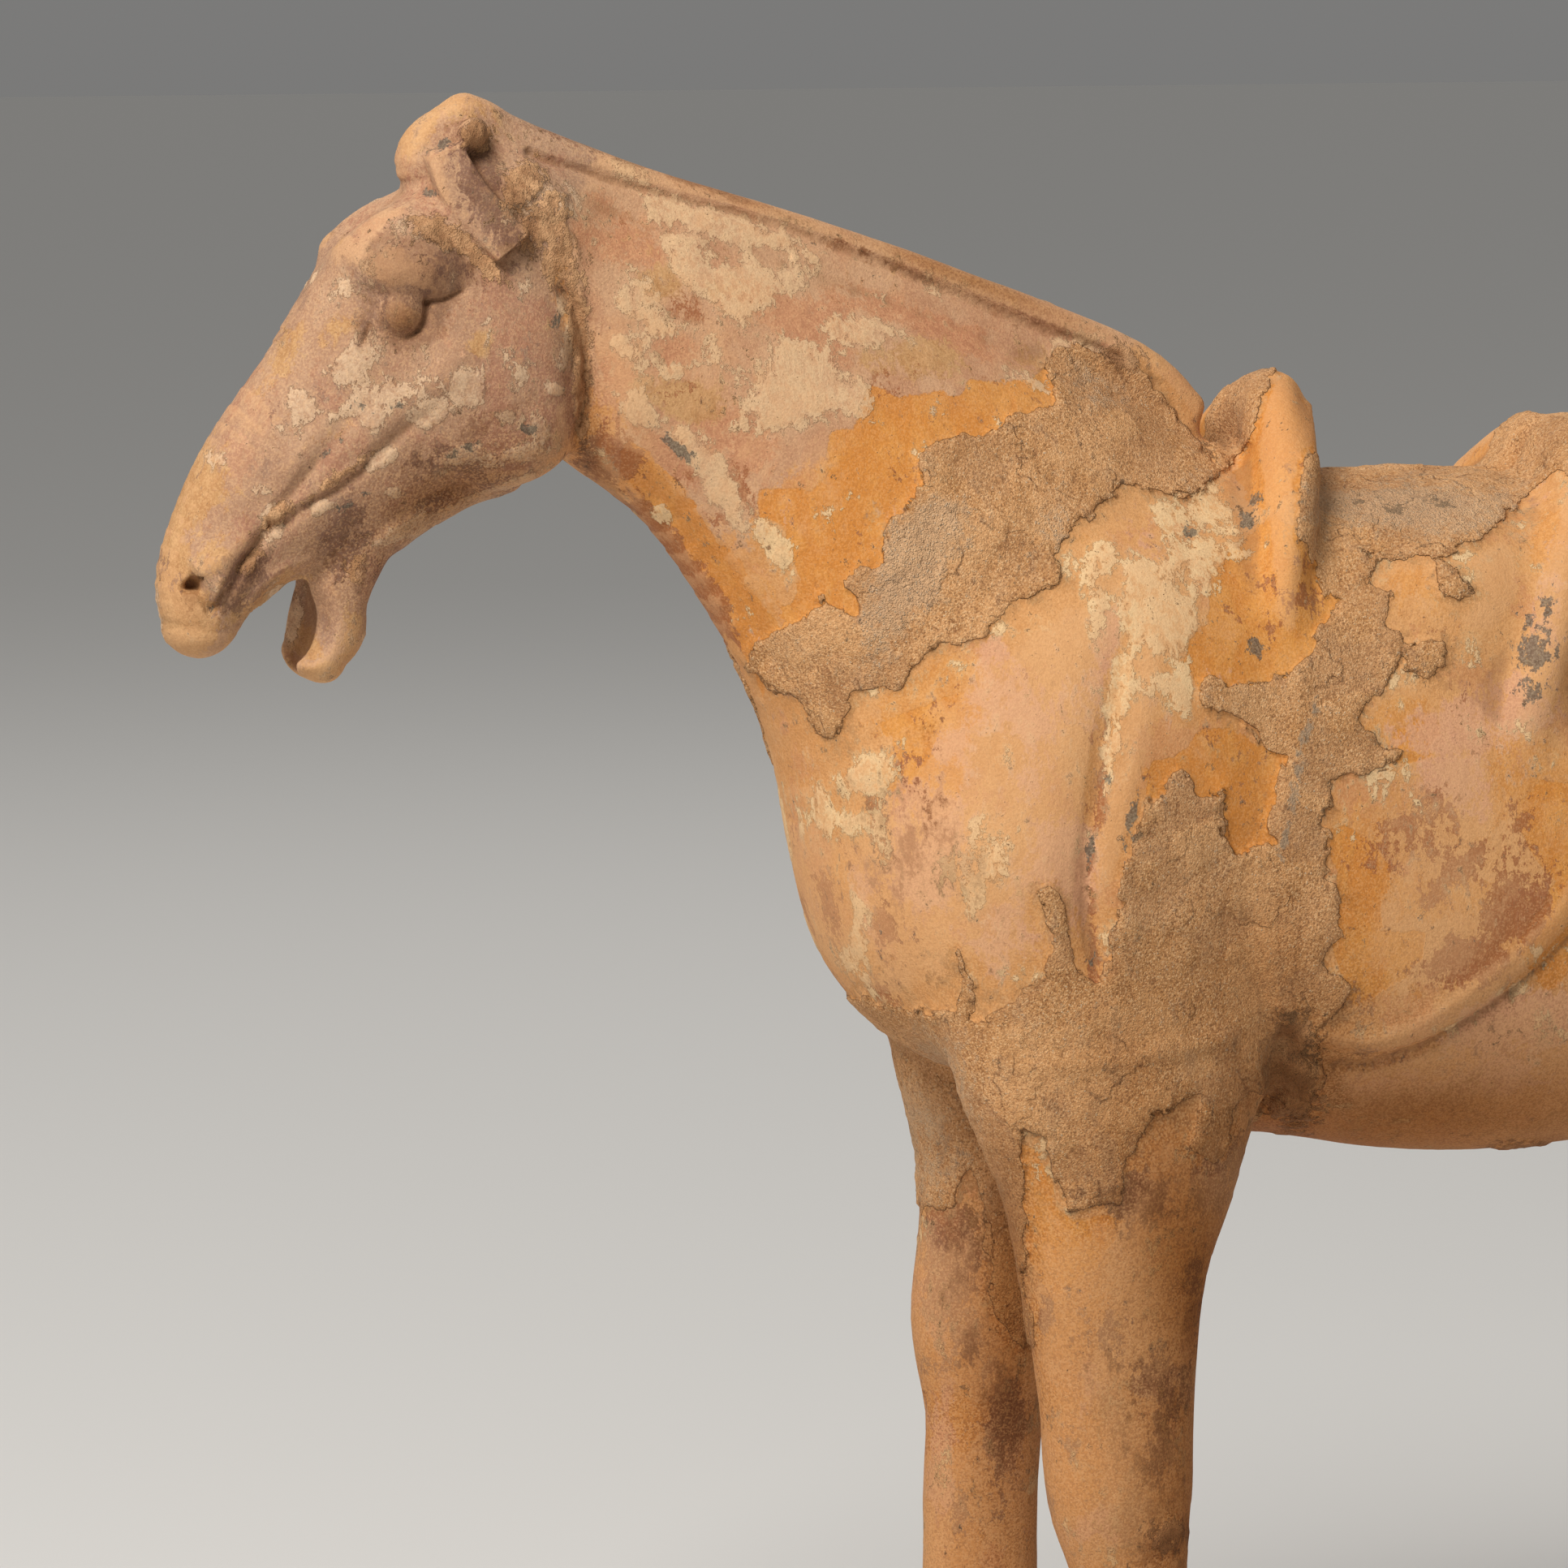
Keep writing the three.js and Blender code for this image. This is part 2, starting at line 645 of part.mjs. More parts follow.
// Saddle bows are drawn as seen from the front: rows [y, z, half height, half length, x].
const pommel = sweep([
  [0, 401, 12, 10, -70],
  [13, 396, 11.5, 9, -74],
  [28, 383, 11, 8, -78.5],
  [40, 366, 8.5, 7, -82],
  [49, 347, 5, 5.5, -86],
]);
const cantle = sweep([
  [0, 385, 13.5, 13, 17],
  [16, 382, 13, 12, 14],
  [32, 371, 12, 10, 6],
  [45, 354, 9, 8, -5],
  [53, 333, 6.5, 6, -15],
  [53, 314, 3, 4, -20],
]);
const seat = egg([-30, 0, 350], [48, 52 * BROAD, 31]);
const croup = egg([88, 0, 330], [70, 50 * BROAD, 62], -0.12);

// Parts that come in mirrored pairs are drawn on the far side, where y is positive.
const shoulder = egg([-134, 37, 300], [40, 22, 66], -0.12);
const haunch = egg([118, 33, 290], [56, 27, 62], 0.2);
const stifle = egg([88, 38, 232], [26, 17, 36], -0.35);
const cheek = egg([-290.5, 15, 411], [20, 12, 26.5], 0.35);
const brow = sweep([
  [-306, 456, 5.5, 5, 16],
  [-317, 452.3, 6.8, 6, 17],
  [-326.3, 446, 7, 6, 17],
  [-331, 435, 5.5, 5, 15],
]);
const lid = egg([-312.7, 20, 443], [12, 6, 7], 0.1);
const eyeball = egg([-316.5, 21.5, 434], [5, 4.8, 4.8]);
const nostrilRim = egg([-362.5, 10.5, 368.5], [6, 6.5, 5], 0.6);
const nostril = egg([-370, 13.5, 365.5], [3.4, 4.5, 2], 0.8);
const ear = sweep(
  [
    [-303.5, 474.7, 5, 4, 12.5],
    [-299, 463.4, 6.4, 4, 17],
    [-290, 450.5, 5.8, 3.5, 21.5],
  ],
  { cap: 0.25, power: 4 },
);
const earStub = egg([-296.5, 12, 479], [4.4, 5, 4.4]);
const forelock = sweep([
  [-290, 479, 8, 8],
  [-298, 476, 9.5, 9.5],
  [-303.5, 470.5, 9.5, 10.5],
  [-303, 463, 7, 9],
]);
const mouth = sweep(
  [
    [-361.5, 328, 14, 30],
    [-352, 346, 8, 30],
    [-347, 354, 5.5, 30],
    [-342.5, 361.5, 3, 30],
  ],
  { cap: 0.8 },
);
const jawScoop = sweep([
  [-342, 368, 5.5, 7],
  [-341, 356, 6.5, 7.5],
  [-342, 345, 5.5, 6.5],
]);
const wornRim = egg([-343, -13, 354], [11, 9, 12]);
const throatHollow = egg([-272, 30, 408], [7, 12, 30], 0.15);

// The saddle flap's outline on the side, from the pommel down, along the belly and up to the cantle
const FLAP = [
  [-86, 380],
  [-88, 330],
  [-95, 288],
  [-90, 248],
  [-62, 234],
  [-30, 246],
  [0, 274],
  [26, 320],
  [34, 372],
  [-26, 420],
];
const FLAP_EDGE = 2.6; // how wide its edge's step is
const FLAP_RISE = 2.4;

// Lines and areas carved on both sides, with how far each sinks in, or rises if negative
const CARVING = [
  { mask: line([[-137.4, 357], [-139.8, 324], [-140.5, 270], [-134, 258]], 6), depth: 2.6 }, // shoulder
  { mask: line([[-262, 400], [-240, 376], [-222, 350], [-213, 334]], 9), depth: 1.8 }, // neck's front
  {
    // the groove along the mane's foot
    mask: line([[-282, 471], [-265, 462.5], [-244, 453.5], [-203, 441], [-158, 425], [-120, 408]], 8),
    depth: 1.6,
  },
  {
    // the upper lip and the fold that runs back from it
    mask: line([[-366.8, 358.5], [-360.5, 366.6], [-351.6, 376.5], [-339.3, 383.6], [-321.7, 396.4]], 7),
    depth: 1.8,
  },
  { mask: line([[-347.9, 384.9], [-330.5, 395.1], [-313.4, 407], [-303.5, 412.6]], 6), depth: 1.4 },
  {
    // the cheek bone's crest
    mask: line([[-337.4, 392.9], [-328.3, 400.7], [-319.1, 407.1], [-309.9, 417.2], [-298.3, 430.3]], 9),
    depth: -2,
  },
  { mask: line([[-328.7, 410], [-342.4, 400], [-353.1, 388.5], [-358.5, 379.8]], 8), depth: -2 }, // nose
  { mask: line([[-328.5, 405.7], [-339.2, 396.4], [-346.1, 387.8]], 5), depth: 1.3 },
  { mask: line([[-293.7, 392], [-306.3, 386.8], [-320.6, 380.1]], 13), depth: 2 }, // behind the chin
  { mask: line([[-325, 442], [-324.4, 435.2], [-323.6, 429.2]], 5), depth: 1.8 }, // the eye's corner
  { mask: area(FLAP, FLAP_EDGE), depth: -FLAP_RISE },
];
const SPINE_CLEAR = 6; // carving fades out this near the middle plane
const CARVED = 12; // and is worked out this near the surface

// Everything under the soles is cut away.
const ground = {
  at: (x, y, z) => z,
  low: [-Infinity, -Infinity, -Infinity],
  high: [Infinity, Infinity, 0],
};

const STEPS = [
  add(trunk, 1),
  add(breast, 24),
  add(neck, 26),
  add(croup, 20),
  add(paired(shoulder), 18),
  add(paired(haunch), 22),
  add(paired(stifle), 20),
  add(foreNear, 11),
  add(foreFar, 11),
  add(hindNear, 16),
  add(hindFar, 16),
  ...HOOVES.map((one) => add(hoof(one), 4)),
  add(tail, 8),
  add(seat, 14),
  add(skull, 7),
  add(lowerJaw, 6),
  remove(mouth, 3),
  remove(jawScoop, 2),
  remove(wornRim, 2),
  add(paired(cheek), 9),
  add(paired(brow), 5),
  add(paired(lid), 3),
  add(paired(eyeball), 1.2),
  add(paired(nostrilRim), 5),
  remove(paired(nostril), 1.5),
  remove(paired(throatHollow), 8),
  add(mane, 4),
  add(forelock, 5),
  add(paired(ear), 2),
  add(paired(earStub), 3),
  add(arched(pommel), 6),
  add(arched(cantle), 8),
  remove(ground, 1),
];

// The carving sinks the surface in, or raises it, away from the middle plane.
function finish(d, x, y, z) {
  if (Math.abs(d) > CARVED) return d;
  const shown = ease(Math.abs(y) / SPINE_CLEAR);
  let sunk = d;
  for (const { mask, depth } of CARVING) sunk += depth * mask(x, z) * shown;
  return sunk;
}

// The horse, standing on z = 0
const FIELD_LOW = [-384, -74, -2.5 * GRID_STEP];
const FIELD_HIGH = [206, 74, 496];
const FACE_END = -262; // ahead of this the mesh keeps more of its detail
const FACE_WEIGHT = 20;
const FLAT = 0.2; // vertices this near the soles' plane lie in it

function horseGeometry() {
  const grid = gridOf({ steps: STEPS, finish }, FIELD_LOW, FIELD_HIGH, GRID_STEP);
  const fine = surfaceOf(grid, FIELD_LOW, GRID_STEP);
  const mesh = thin(fine, HORSE_FACES, (x) => (x < FACE_END ? FACE_WEIGHT : 1));
  for (let i = 2; i < mesh.points.length; i += 3) {
    if (Math.abs(mesh.points[i]) < FLAT) mesh.points[i] = 0;
  }
  return geometryOf(mesh).scale(UNIT, UNIT, UNIT);
}

// The slab under the hooves, reaching the same margin past the foremost toe and the rearmost heel
const toe = Math.min(...HOOVES.map((h) => h.x)) * UNIT - HOOF_LENGTH / 2;
const heel = Math.max(...HOOVES.map((h) => h.x)) * UNIT + HOOF_LENGTH / 2;
const plinth = {
  middle: (toe + heel) / 2,
  length: heel - toe + 2 * PLINTH_END_MARGIN,
  width: STANCE_WIDTH + HOOF_WIDTH + 2 * PLINTH_SIDE_MARGIN,
};

function plinthGeometry() {
  const x = plinth.length / 2 - PLINTH_EDGE;
  const y = plinth.width / 2 - PLINTH_EDGE;
  const r = PLINTH_CORNER - PLINTH_EDGE;
  const outline = new THREE.Shape();
  outline.moveTo(-x + r, -y);
  outline.lineTo(x - r, -y);
  outline.absarc(x - r, -y + r, r, -Math.PI / 2, 0);
  outline.lineTo(x, y - r);
  outline.absarc(x - r, y - r, r, 0, Math.PI / 2);
  outline.lineTo(-x + r, y);
  outline.absarc(-x + r, y - r, r, Math.PI / 2, Math.PI);
  outline.lineTo(-x, -y + r);
  outline.absarc(-x + r, -y + r, r, Math.PI, 1.5 * Math.PI);
  return new THREE.ExtrudeGeometry(outline, {
    depth: PLINTH_THICKNESS - 2 * PLINTH_EDGE,
    bevelThickness: PLINTH_EDGE,
    bevelSize: PLINTH_EDGE,
    bevelSegments: 2,
    curveSegments: 3,
  }).translate(0, 0, PLINTH_EDGE);
}

const slip = new THREE.MeshStandardMaterial({ color: 0xb9834c, roughness: 0.85, metalness: 0 });
const bareClay = new THREE.MeshStandardMaterial({ color: 0x9c6f45, roughness: 0.92, metalness: 0 });

const horse = new THREE.Mesh(horseGeometry(), slip);
horse.name = "horse";
horse.position.set(-plinth.middle, 0, PLINTH_THICKNESS + SOLE_GAP);

const slab = new THREE.Mesh(plinthGeometry(), bareClay);
slab.name = "plinth";

const tombHorse = new THREE.Group();
tombHorse.add(horse, slab);

export default tombHorse;
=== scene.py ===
# A painted pottery tomb horse on a low slab: its fine surface, worn colours and burial earth.
import math

import bpy
import numpy as np
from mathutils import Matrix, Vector


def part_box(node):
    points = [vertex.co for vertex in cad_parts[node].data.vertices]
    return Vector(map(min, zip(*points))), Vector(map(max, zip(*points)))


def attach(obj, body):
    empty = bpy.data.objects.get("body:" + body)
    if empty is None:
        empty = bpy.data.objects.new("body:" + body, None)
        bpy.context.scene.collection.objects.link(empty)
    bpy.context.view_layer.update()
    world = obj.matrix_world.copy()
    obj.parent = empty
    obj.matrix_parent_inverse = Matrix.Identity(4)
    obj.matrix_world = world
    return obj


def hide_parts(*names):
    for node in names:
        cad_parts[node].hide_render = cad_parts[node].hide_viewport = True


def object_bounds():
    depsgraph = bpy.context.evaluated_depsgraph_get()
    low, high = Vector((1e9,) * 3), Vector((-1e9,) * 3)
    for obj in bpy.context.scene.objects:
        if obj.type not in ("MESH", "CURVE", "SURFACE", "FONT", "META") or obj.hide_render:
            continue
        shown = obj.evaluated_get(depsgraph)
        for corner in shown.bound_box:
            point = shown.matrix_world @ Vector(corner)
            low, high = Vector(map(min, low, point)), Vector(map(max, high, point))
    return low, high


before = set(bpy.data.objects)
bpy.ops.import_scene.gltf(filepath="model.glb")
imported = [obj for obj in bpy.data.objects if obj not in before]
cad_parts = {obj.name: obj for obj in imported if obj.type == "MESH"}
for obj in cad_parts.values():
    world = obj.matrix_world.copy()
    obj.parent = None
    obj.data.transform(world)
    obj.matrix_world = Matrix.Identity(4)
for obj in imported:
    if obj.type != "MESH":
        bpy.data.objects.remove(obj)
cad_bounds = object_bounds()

MM = 0.001  # metres in a millimetre
TINY = 1e-6  # keeps a divisor from being nought

# The photograph's camera. Lengths in millimetres in the part's frame, angles in degrees.
PHOTO = 1932  # pixels along a side
AIM = np.array([-200.5, 0.0, 318.0])
AZIMUTH = math.radians(-18)
ELEVATION = math.radians(8)
DISTANCE = 1700.0
PIXEL = 0.215  # what a pixel covers at the aim's distance
SENSOR = 36.0

BACK = np.array([
    math.sin(AZIMUTH) * math.cos(ELEVATION), -math.cos(AZIMUTH) * math.cos(ELEVATION), math.sin(ELEVATION)])
RIGHT = np.array([math.cos(AZIMUTH), math.sin(AZIMUTH), 0.0])
UP = np.cross(BACK, RIGHT)


def photo_place(p):
    """Where points of the part (in mm) show in the photograph, in its pixels."""
    q = p - AIM
    scale = DISTANCE / PIXEL / (DISTANCE - q @ BACK)
    return PHOTO / 2 + scale * (q @ RIGHT), PHOTO / 2 - scale * (q @ UP)


# The horse's drawing: millimetres above the soles, as in the solids
DRAWN_TO_PART = np.array([7.5, 0.0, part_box("horse")[0].z / MM])
LEG_Y = 40.0
HOOF_LENGTH, HOOF_WIDTH, HOOF_HEIGHT = 42.0, 36.0, 24.0
NEVER = 99.0  # a distance further than any form reaches


def ease(t):
    s = np.clip(t, 0, 1)
    return s * s * (3 - 2 * s)


def join(a, b, k):
    """The union of two distances, rounded over a width of about k."""
    h = np.maximum(k - np.abs(a - b), 0) / k
    return np.minimum(a, b) - h * h * k / 4


def smooth_rows(rows, steps, closed=False):
    """A smooth curve through rows of numbers, given as many more rows."""
    rows = np.array(rows, float)
    count = len(rows)
    made = []
    for i in range(count if closed else count - 1):
        index = [i - 1, i, i + 1, i + 2]
        index = [k % count if closed else min(max(k, 0), count - 1) for k in index]
        p, q, r, s = rows[index]
        for t in np.arange(steps) / steps:
            bend = 2 * p - 5 * q + 4 * r - s
            twist = 3 * q - p - 3 * r + s
            made.append(q + 0.5 * ((r - p) * t + bend * t * t + twist * t * t * t))
    made.append(made[0] if closed else rows[-1])
    return np.array(made)


def nearest(rows, x, z):
    """Squared distance, segment, place along it, and unclipped place, of the polyline's nearest point."""
    best = np.full(x.shape, np.inf)
    seg = np.zeros(x.shape, np.int32)
    at = np.zeros(x.shape)
    past = np.zeros(x.shape)
    for i in range(len(rows) - 1):
        dx, dz = rows[i + 1][:2] - rows[i][:2]
        raw = ((x - rows[i][0]) * dx + (z - rows[i][1]) * dz) / (dx * dx + dz * dz)
        t = np.clip(raw, 0, 1)
        d2 = (x - rows[i][0] - dx * t) ** 2 + (z - rows[i][1] - dz * t) ** 2
        closer = d2 < best
        best = np.where(closer, d2, best)
        seg[closer] = i
        at = np.where(closer, t, at)
        past = np.where(closer, raw, past)
    return best, seg, at, past


class Form:
    """A distance function with the box that the form lies in."""

    def __init__(self, at, low, high):
        self.at, self.low, self.high = at, np.array(low, float), np.array(high, float)


def sweep(stations, cap=0.8, power=2.0, steps=5):
    """A soft tube along a spine in the side plane: stations [x, z, depth, width, y, lean]."""
    rows = smooth_rows([list(s) + [0] * (6 - len(s)) for s in stations], steps)
    last = len(rows) - 2

    def at(x, y, z):
        d2, i, t, raw = nearest(rows, x, z)
        a, b = rows[i], rows[i + 1]
        way = b[:, :2] - a[:, :2]
        way /= np.linalg.norm(way, axis=1, keepdims=True)
        now = a + (b - a) * t[:, None]
        px, pz = x - now[:, 0], z - now[:, 1]
        side = pz * way[:, 0] - px * way[:, 1]
        out = ((i == 0) & (raw < 0)) | ((i == last) & (raw > 1))
        along = np.where(out, px * way[:, 0] + pz * way[:, 1], 0)
        u = np.where(out, side, np.sign(side) * np.sqrt(d2))
        depth, v = now[:, 2], y - now[:, 4]
        width = now[:, 3] * (1 + now[:, 5] * np.clip(u / depth, -1, 1))
        total = (np.abs(u / depth) ** power + np.abs(v / width) ** power
                 + np.abs(along / (depth * cap)) ** power)
        k = np.maximum(total ** (1 / power), TINY)
        return (k - 1) * np.sqrt(u * u + v * v + along * along) / k

    reach = rows[:, 2] * max(1, cap)
    wide = rows[:, 3] * (1 + np.abs(rows[:, 5]))
    low = [(rows[:, 0] - reach).min(), (rows[:, 4] - wide).min(), (rows[:, 1] - reach).min()]
    high = [(rows[:, 0] + reach).max(), (rows[:, 4] + wide).max(), (rows[:, 1] + reach).max()]
    return Form(at, low, high)


def egg(middle, halves, tilt=0.0):
    """An ellipsoid, tilted in the side plane."""
    (cx, cy, cz), (a, b, c) = middle, halves
    cos, sin = math.cos(tilt), math.sin(tilt)

    def at(x, y, z):
        p = (x - cx) * cos + (z - cz) * sin
        q = (z - cz) * cos - (x - cx) * sin
        v = y - cy
        k = np.sqrt((p / a) ** 2 + (v / b) ** 2 + (q / c) ** 2)
        g = np.sqrt((p / a ** 2) ** 2 + (v / b ** 2) ** 2 + (q / c ** 2) ** 2)
        return k * (k - 1) / np.maximum(g, TINY)

    far = max(a, c)
    return Form(at, [cx - far, cy - b, cz - far], [cx + far, cy + b, cz + far])


def paired(form):
    """The same form on both sides, drawn where y is positive."""
    low = [form.low[0], -form.high[1], form.low[2]]
    return Form(lambda x, y, z: form.at(x, np.abs(y), z), low, form.high)


def arched(form):
    """A form whose spine is drawn as seen from the front: its x and y change places."""
    low = [form.low[1], -form.high[0], form.low[2]]
    return Form(lambda x, y, z: form.at(np.abs(y), x, z), low, [form.high[1], form.high[0], form.high[2]])


def groove(points, width, depth, fade_in=0.0, fade_out=0.0):
    """A line sunk into both sides, or raised if its depth is negative, that fades out at its ends."""
    rows = smooth_rows(points, 4)
    low, high = rows.min(0) - width, rows.max(0) + width

    def sink(x, z):
        made = np.zeros(x.shape)
        near = (x > low[0]) & (x < high[0]) & (z > low[1]) & (z < high[1])
        if near.any():
            d2, seg, t, _ = nearest(rows, x[near], z[near])
            way = (seg + t) / (len(rows) - 1)
            shape = 1 - ease(np.sqrt(d2) / (width / 2))
            if fade_in:
                shape = shape * ease(way / fade_in)
            if fade_out:
                shape = shape * ease((1 - way) / fade_out)
            made[near] = depth * shape
        return made

    return sink


def inside_by(outline, x, z, limit):
    """How far points are inside an outline, negative outside, and -limit where they are far from it."""
    rows = np.array(outline, float)
    made = np.full(x.shape, -float(limit))
    low, high = rows.min(0) - limit, rows.max(0) + limit
    near = (x > low[0]) & (x < high[0]) & (z > low[1]) & (z < high[1])
    if not near.any():
        return made
    px, pz = x[near], z[near]
    best = np.full(px.shape, float(limit) ** 2)
    inside = np.zeros(px.shape, bool)
    for (ax, az), (bx, bz) in zip(rows, np.roll(rows, -1, 0)):
        dx, dz = bx - ax, bz - az
        t = np.clip(((px - ax) * dx + (pz - az) * dz) / (dx * dx + dz * dz + 1e-9), 0, 1)
        best = np.minimum(best, (px - ax - dx * t) ** 2 + (pz - az - dz * t) ** 2)
        if az != bz:
            inside ^= ((az > pz) != (bz > pz)) & (px < (bx - ax) * (pz - az) / (bz - az) + ax)
    made[near] = np.where(inside, 1, -1) * np.sqrt(best)
    return made


TRUNK_STEPS = 16  # many, because its long curves show every facet

# The forms of the body
trunk = sweep([
    [-152, 290, 58, 52], [-112, 292, 82, 57, 0, -0.05], [-66, 290, 86.5, 61, 0, -0.08],
    [-14, 287, 91, 62, 0, -0.1], [42, 292, 91, 62, 0, -0.08], [92, 304, 85, 60, 0, -0.05],
    [128, 309, 70, 54], [146, 308, 55, 46]], power=2.2, cap=0.6, steps=TRUNK_STEPS)
breast = egg((-157, 0, 284), (41.5, 54, 51))
neck = sweep([
    [-276, 444, 25, 19], [-258, 429, 34.5, 22, 0, -0.12], [-222, 409, 42, 27, 0, -0.2],
    [-189, 384.8, 54.5, 35, 0, -0.22], [-158, 356.8, 68.5, 46, 0, -0.2], [-124, 322, 82, 53, 0, -0.12]])
skull = sweep([
    [-286, 455, 24, 19.5], [-301, 429, 35, 23.5, 0, 0.05], [-321.5, 406.5, 31.5, 22, 0, 0.1],
    [-340, 391.5, 25, 19.5, 0, 0.05], [-353, 378, 20, 16.5], [-363, 364, 14.2, 15.5],
    [-365, 353.5, 10, 13]], power=2.2, cap=0.85)
lower_jaw = sweep([
    [-318, 384, 9, 14], [-325, 372, 8.5, 12.5], [-330.5, 361, 9, 12], [-332.8, 352, 10.3, 11.5],
    [-335.5, 346, 8.5, 11]], cap=0.9, power=2.6)
jaw_edge = sweep([[-285, 392, 7, 9], [-296, 389, 7, 10], [-306, 385, 7.5, 11], [-316, 380, 8, 12]])
mane = sweep([
    [-295, 481.3, 7.6, 7.5], [-281, 474.2, 7.8, 7.5], [-267, 468.5, 8, 7.5], [-245, 461, 8, 7.5],
    [-200, 447.5, 8, 7.5], [-155, 431.8, 8, 7.5], [-112, 414.5, 8, 7.5], [-96, 402, 7, 7]], power=2.4)

NEAR, FAR = -1, 1
FORE_HOOF_NEAR, FORE_HOOF_FAR, HIND_HOOF = -131.0, -147.0, 132.0
TOE_LEAN = 5.0
CORONET = 0.78  # the coronet's size as a share of the sole's
SOLE_EXTRA = 4.0


def leg(side, hoof_x, stations):
    rows = [[x, z, depth, width, side * (LEG_Y + (rest[0] if rest else 0))]
            for x, z, depth, width, *rest in stations]
    rows.append([hoof_x + TOE_LEAN, HOOF_HEIGHT - 6, 13, 12.5, side * LEG_Y])
    return sweep(rows, cap=0.7, power=2.1)


fore_near = leg(NEAR, FORE_HOOF_NEAR, [
    [-131.8, 262, 44, 24, -4], [-128.8, 230, 43, 24, -1], [-127.8, 203, 34, 22], [-128.8, 176, 26, 19.5],
    [-127.8, 143, 22, 17], [-126.8, 116, 20.5, 16.5], [-123.8, 94, 16.5, 13.5], [-122.8, 68, 14.5, 12.5],
    [-122.8, 48, 16.5, 14], [-126.3, 34, 14.5, 13.5]])
fore_far = leg(FAR, FORE_HOOF_FAR, [
    [-133, 262, 42, 24, -4], [-133, 226, 31, 23, -1], [-132.5, 200, 25, 20], [-134, 176, 21.5, 18],
    [-136, 147, 22, 17.5], [-136.5, 121, 17.5, 14], [-137.5, 98, 17, 13], [-137.5, 74, 17, 13.5],
    [-138, 51, 17.5, 14.5], [-142, 34, 15, 14]])
HIND = [
    [118, 292, 58, 26, -6], [116, 254, 50, 26, -3], [118, 218, 38, 23], [131, 182, 27, 19.5],
    [147, 150, 21.5, 17], [152, 130, 20, 16], [149, 108, 16, 14], [145, 78, 14.5, 13],
    [143, 52, 17, 14.5], [138, 35, 14.5, 14]]
hind_near, hind_far = leg(NEAR, HIND_HOOF, HIND), leg(FAR, HIND_HOOF, HIND)


def hoof(cx, side):
    cy = side * LEG_Y

    def at(x, y, z):
        up = np.clip(z / HOOF_HEIGHT, 0, 1)
        half = (1 + (CORONET - 1) * up) / 2
        p = (x - cx - TOE_LEAN * up) / (HOOF_LENGTH * half)
        q = (y - cy) / (HOOF_WIDTH * half)
        around = (np.hypot(p, q) - 1) * HOOF_WIDTH * half
        return np.maximum(np.maximum(around, z - HOOF_HEIGHT), -SOLE_EXTRA - z)

    dx, dy = HOOF_LENGTH / 2 + TOE_LEAN, HOOF_WIDTH / 2
    return Form(at, [cx - dx, cy - dy, -SOLE_EXTRA], [cx + dx, cy + dy, HOOF_HEIGHT])


tail = sweep([
    [158, 362, 9, 10], [176, 355, 9.5, 10], [187, 335, 10, 10.5], [188, 312, 8, 9],
    [186, 292, 10.5, 11], [185, 272, 5.5, 6]])
pommel = sweep([
    [0, 401, 12, 10, -70], [13, 396, 11.5, 9, -74], [28, 383, 11, 8, -78.5], [38, 368, 8.5, 6, -82],
    [45, 352, 3.5, 3, -85]])
cantle = sweep([
    [0, 385, 13.5, 13, 17], [16, 382, 13, 12, 14], [32, 371, 12, 10, 6], [45, 354, 9, 8, -5],
    [53, 333, 6.5, 6, -15], [53, 314, 3, 4, -20]])
seat = egg((-30, 0, 350), (48, 52, 31))
croup = egg((88, 0, 330), (70, 50, 62), -0.12)
shoulder = egg((-134, 37, 300), (40, 22, 66), -0.12)
haunch = egg((118, 33, 290), (56, 27, 62), 0.2)
stifle = egg((88, 38, 232), (26, 17, 36), -0.35)
cheek = egg((-289.3, 15, 413.5), (22.5, 12, 25), 0.35)
brow = sweep([[-304, 456.5, 5.5, 8, 11], [-316, 453, 6.5, 7, 11], [-325, 447.5, 5.5, 7, 10]])
dome = egg((-313.2, 17, 444.3), (12.4, 8.8, 8.6), 0.1)
eyeball = egg((-316.4, 19.8, 434.2), (6.1, 5.0, 5.8), 0.4)
nostril_rim = egg((-362.5, 10.5, 368.5), (6, 6.5, 5), 0.6)
nostril = egg((-369.8, 13.3, 366.3), (4.9, 3.9, 1.4), 0.7)
ear = sweep([[-303.5, 474.7, 5, 4, 12.5], [-299, 463.4, 6.2, 4, 17], [-288.5, 450.5, 5.6, 3.5, 21.5]],
            cap=0.12, power=5)
ear_stub = egg((-296.5, 12, 478.6), (3.8, 4.8, 3.6), 0.6)
forelock = sweep([
    [-290, 478.5, 7.5, 8], [-298, 476.5, 9.3, 9.5], [-303.5, 471, 9.3, 10.5], [-301.5, 464.5, 6, 9]])
mouth = sweep([[-361.5, 328, 14, 30], [-352, 346, 8, 30], [-347, 354, 5.5, 30], [-342.5, 361.5, 3, 30]])
jaw_scoop = sweep([[-342, 368, 5.5, 7], [-341, 356, 6.5, 7.5], [-342, 345, 5.5, 6.5]])
worn_rim = egg((-343, -13, 354), (11, 9, 12))
throat_hollow = egg((-266.5, 30, 408), (5, 12, 28), 0.15)
ground = Form(lambda x, y, z: z, [-np.inf] * 3, [np.inf, np.inf, 0])

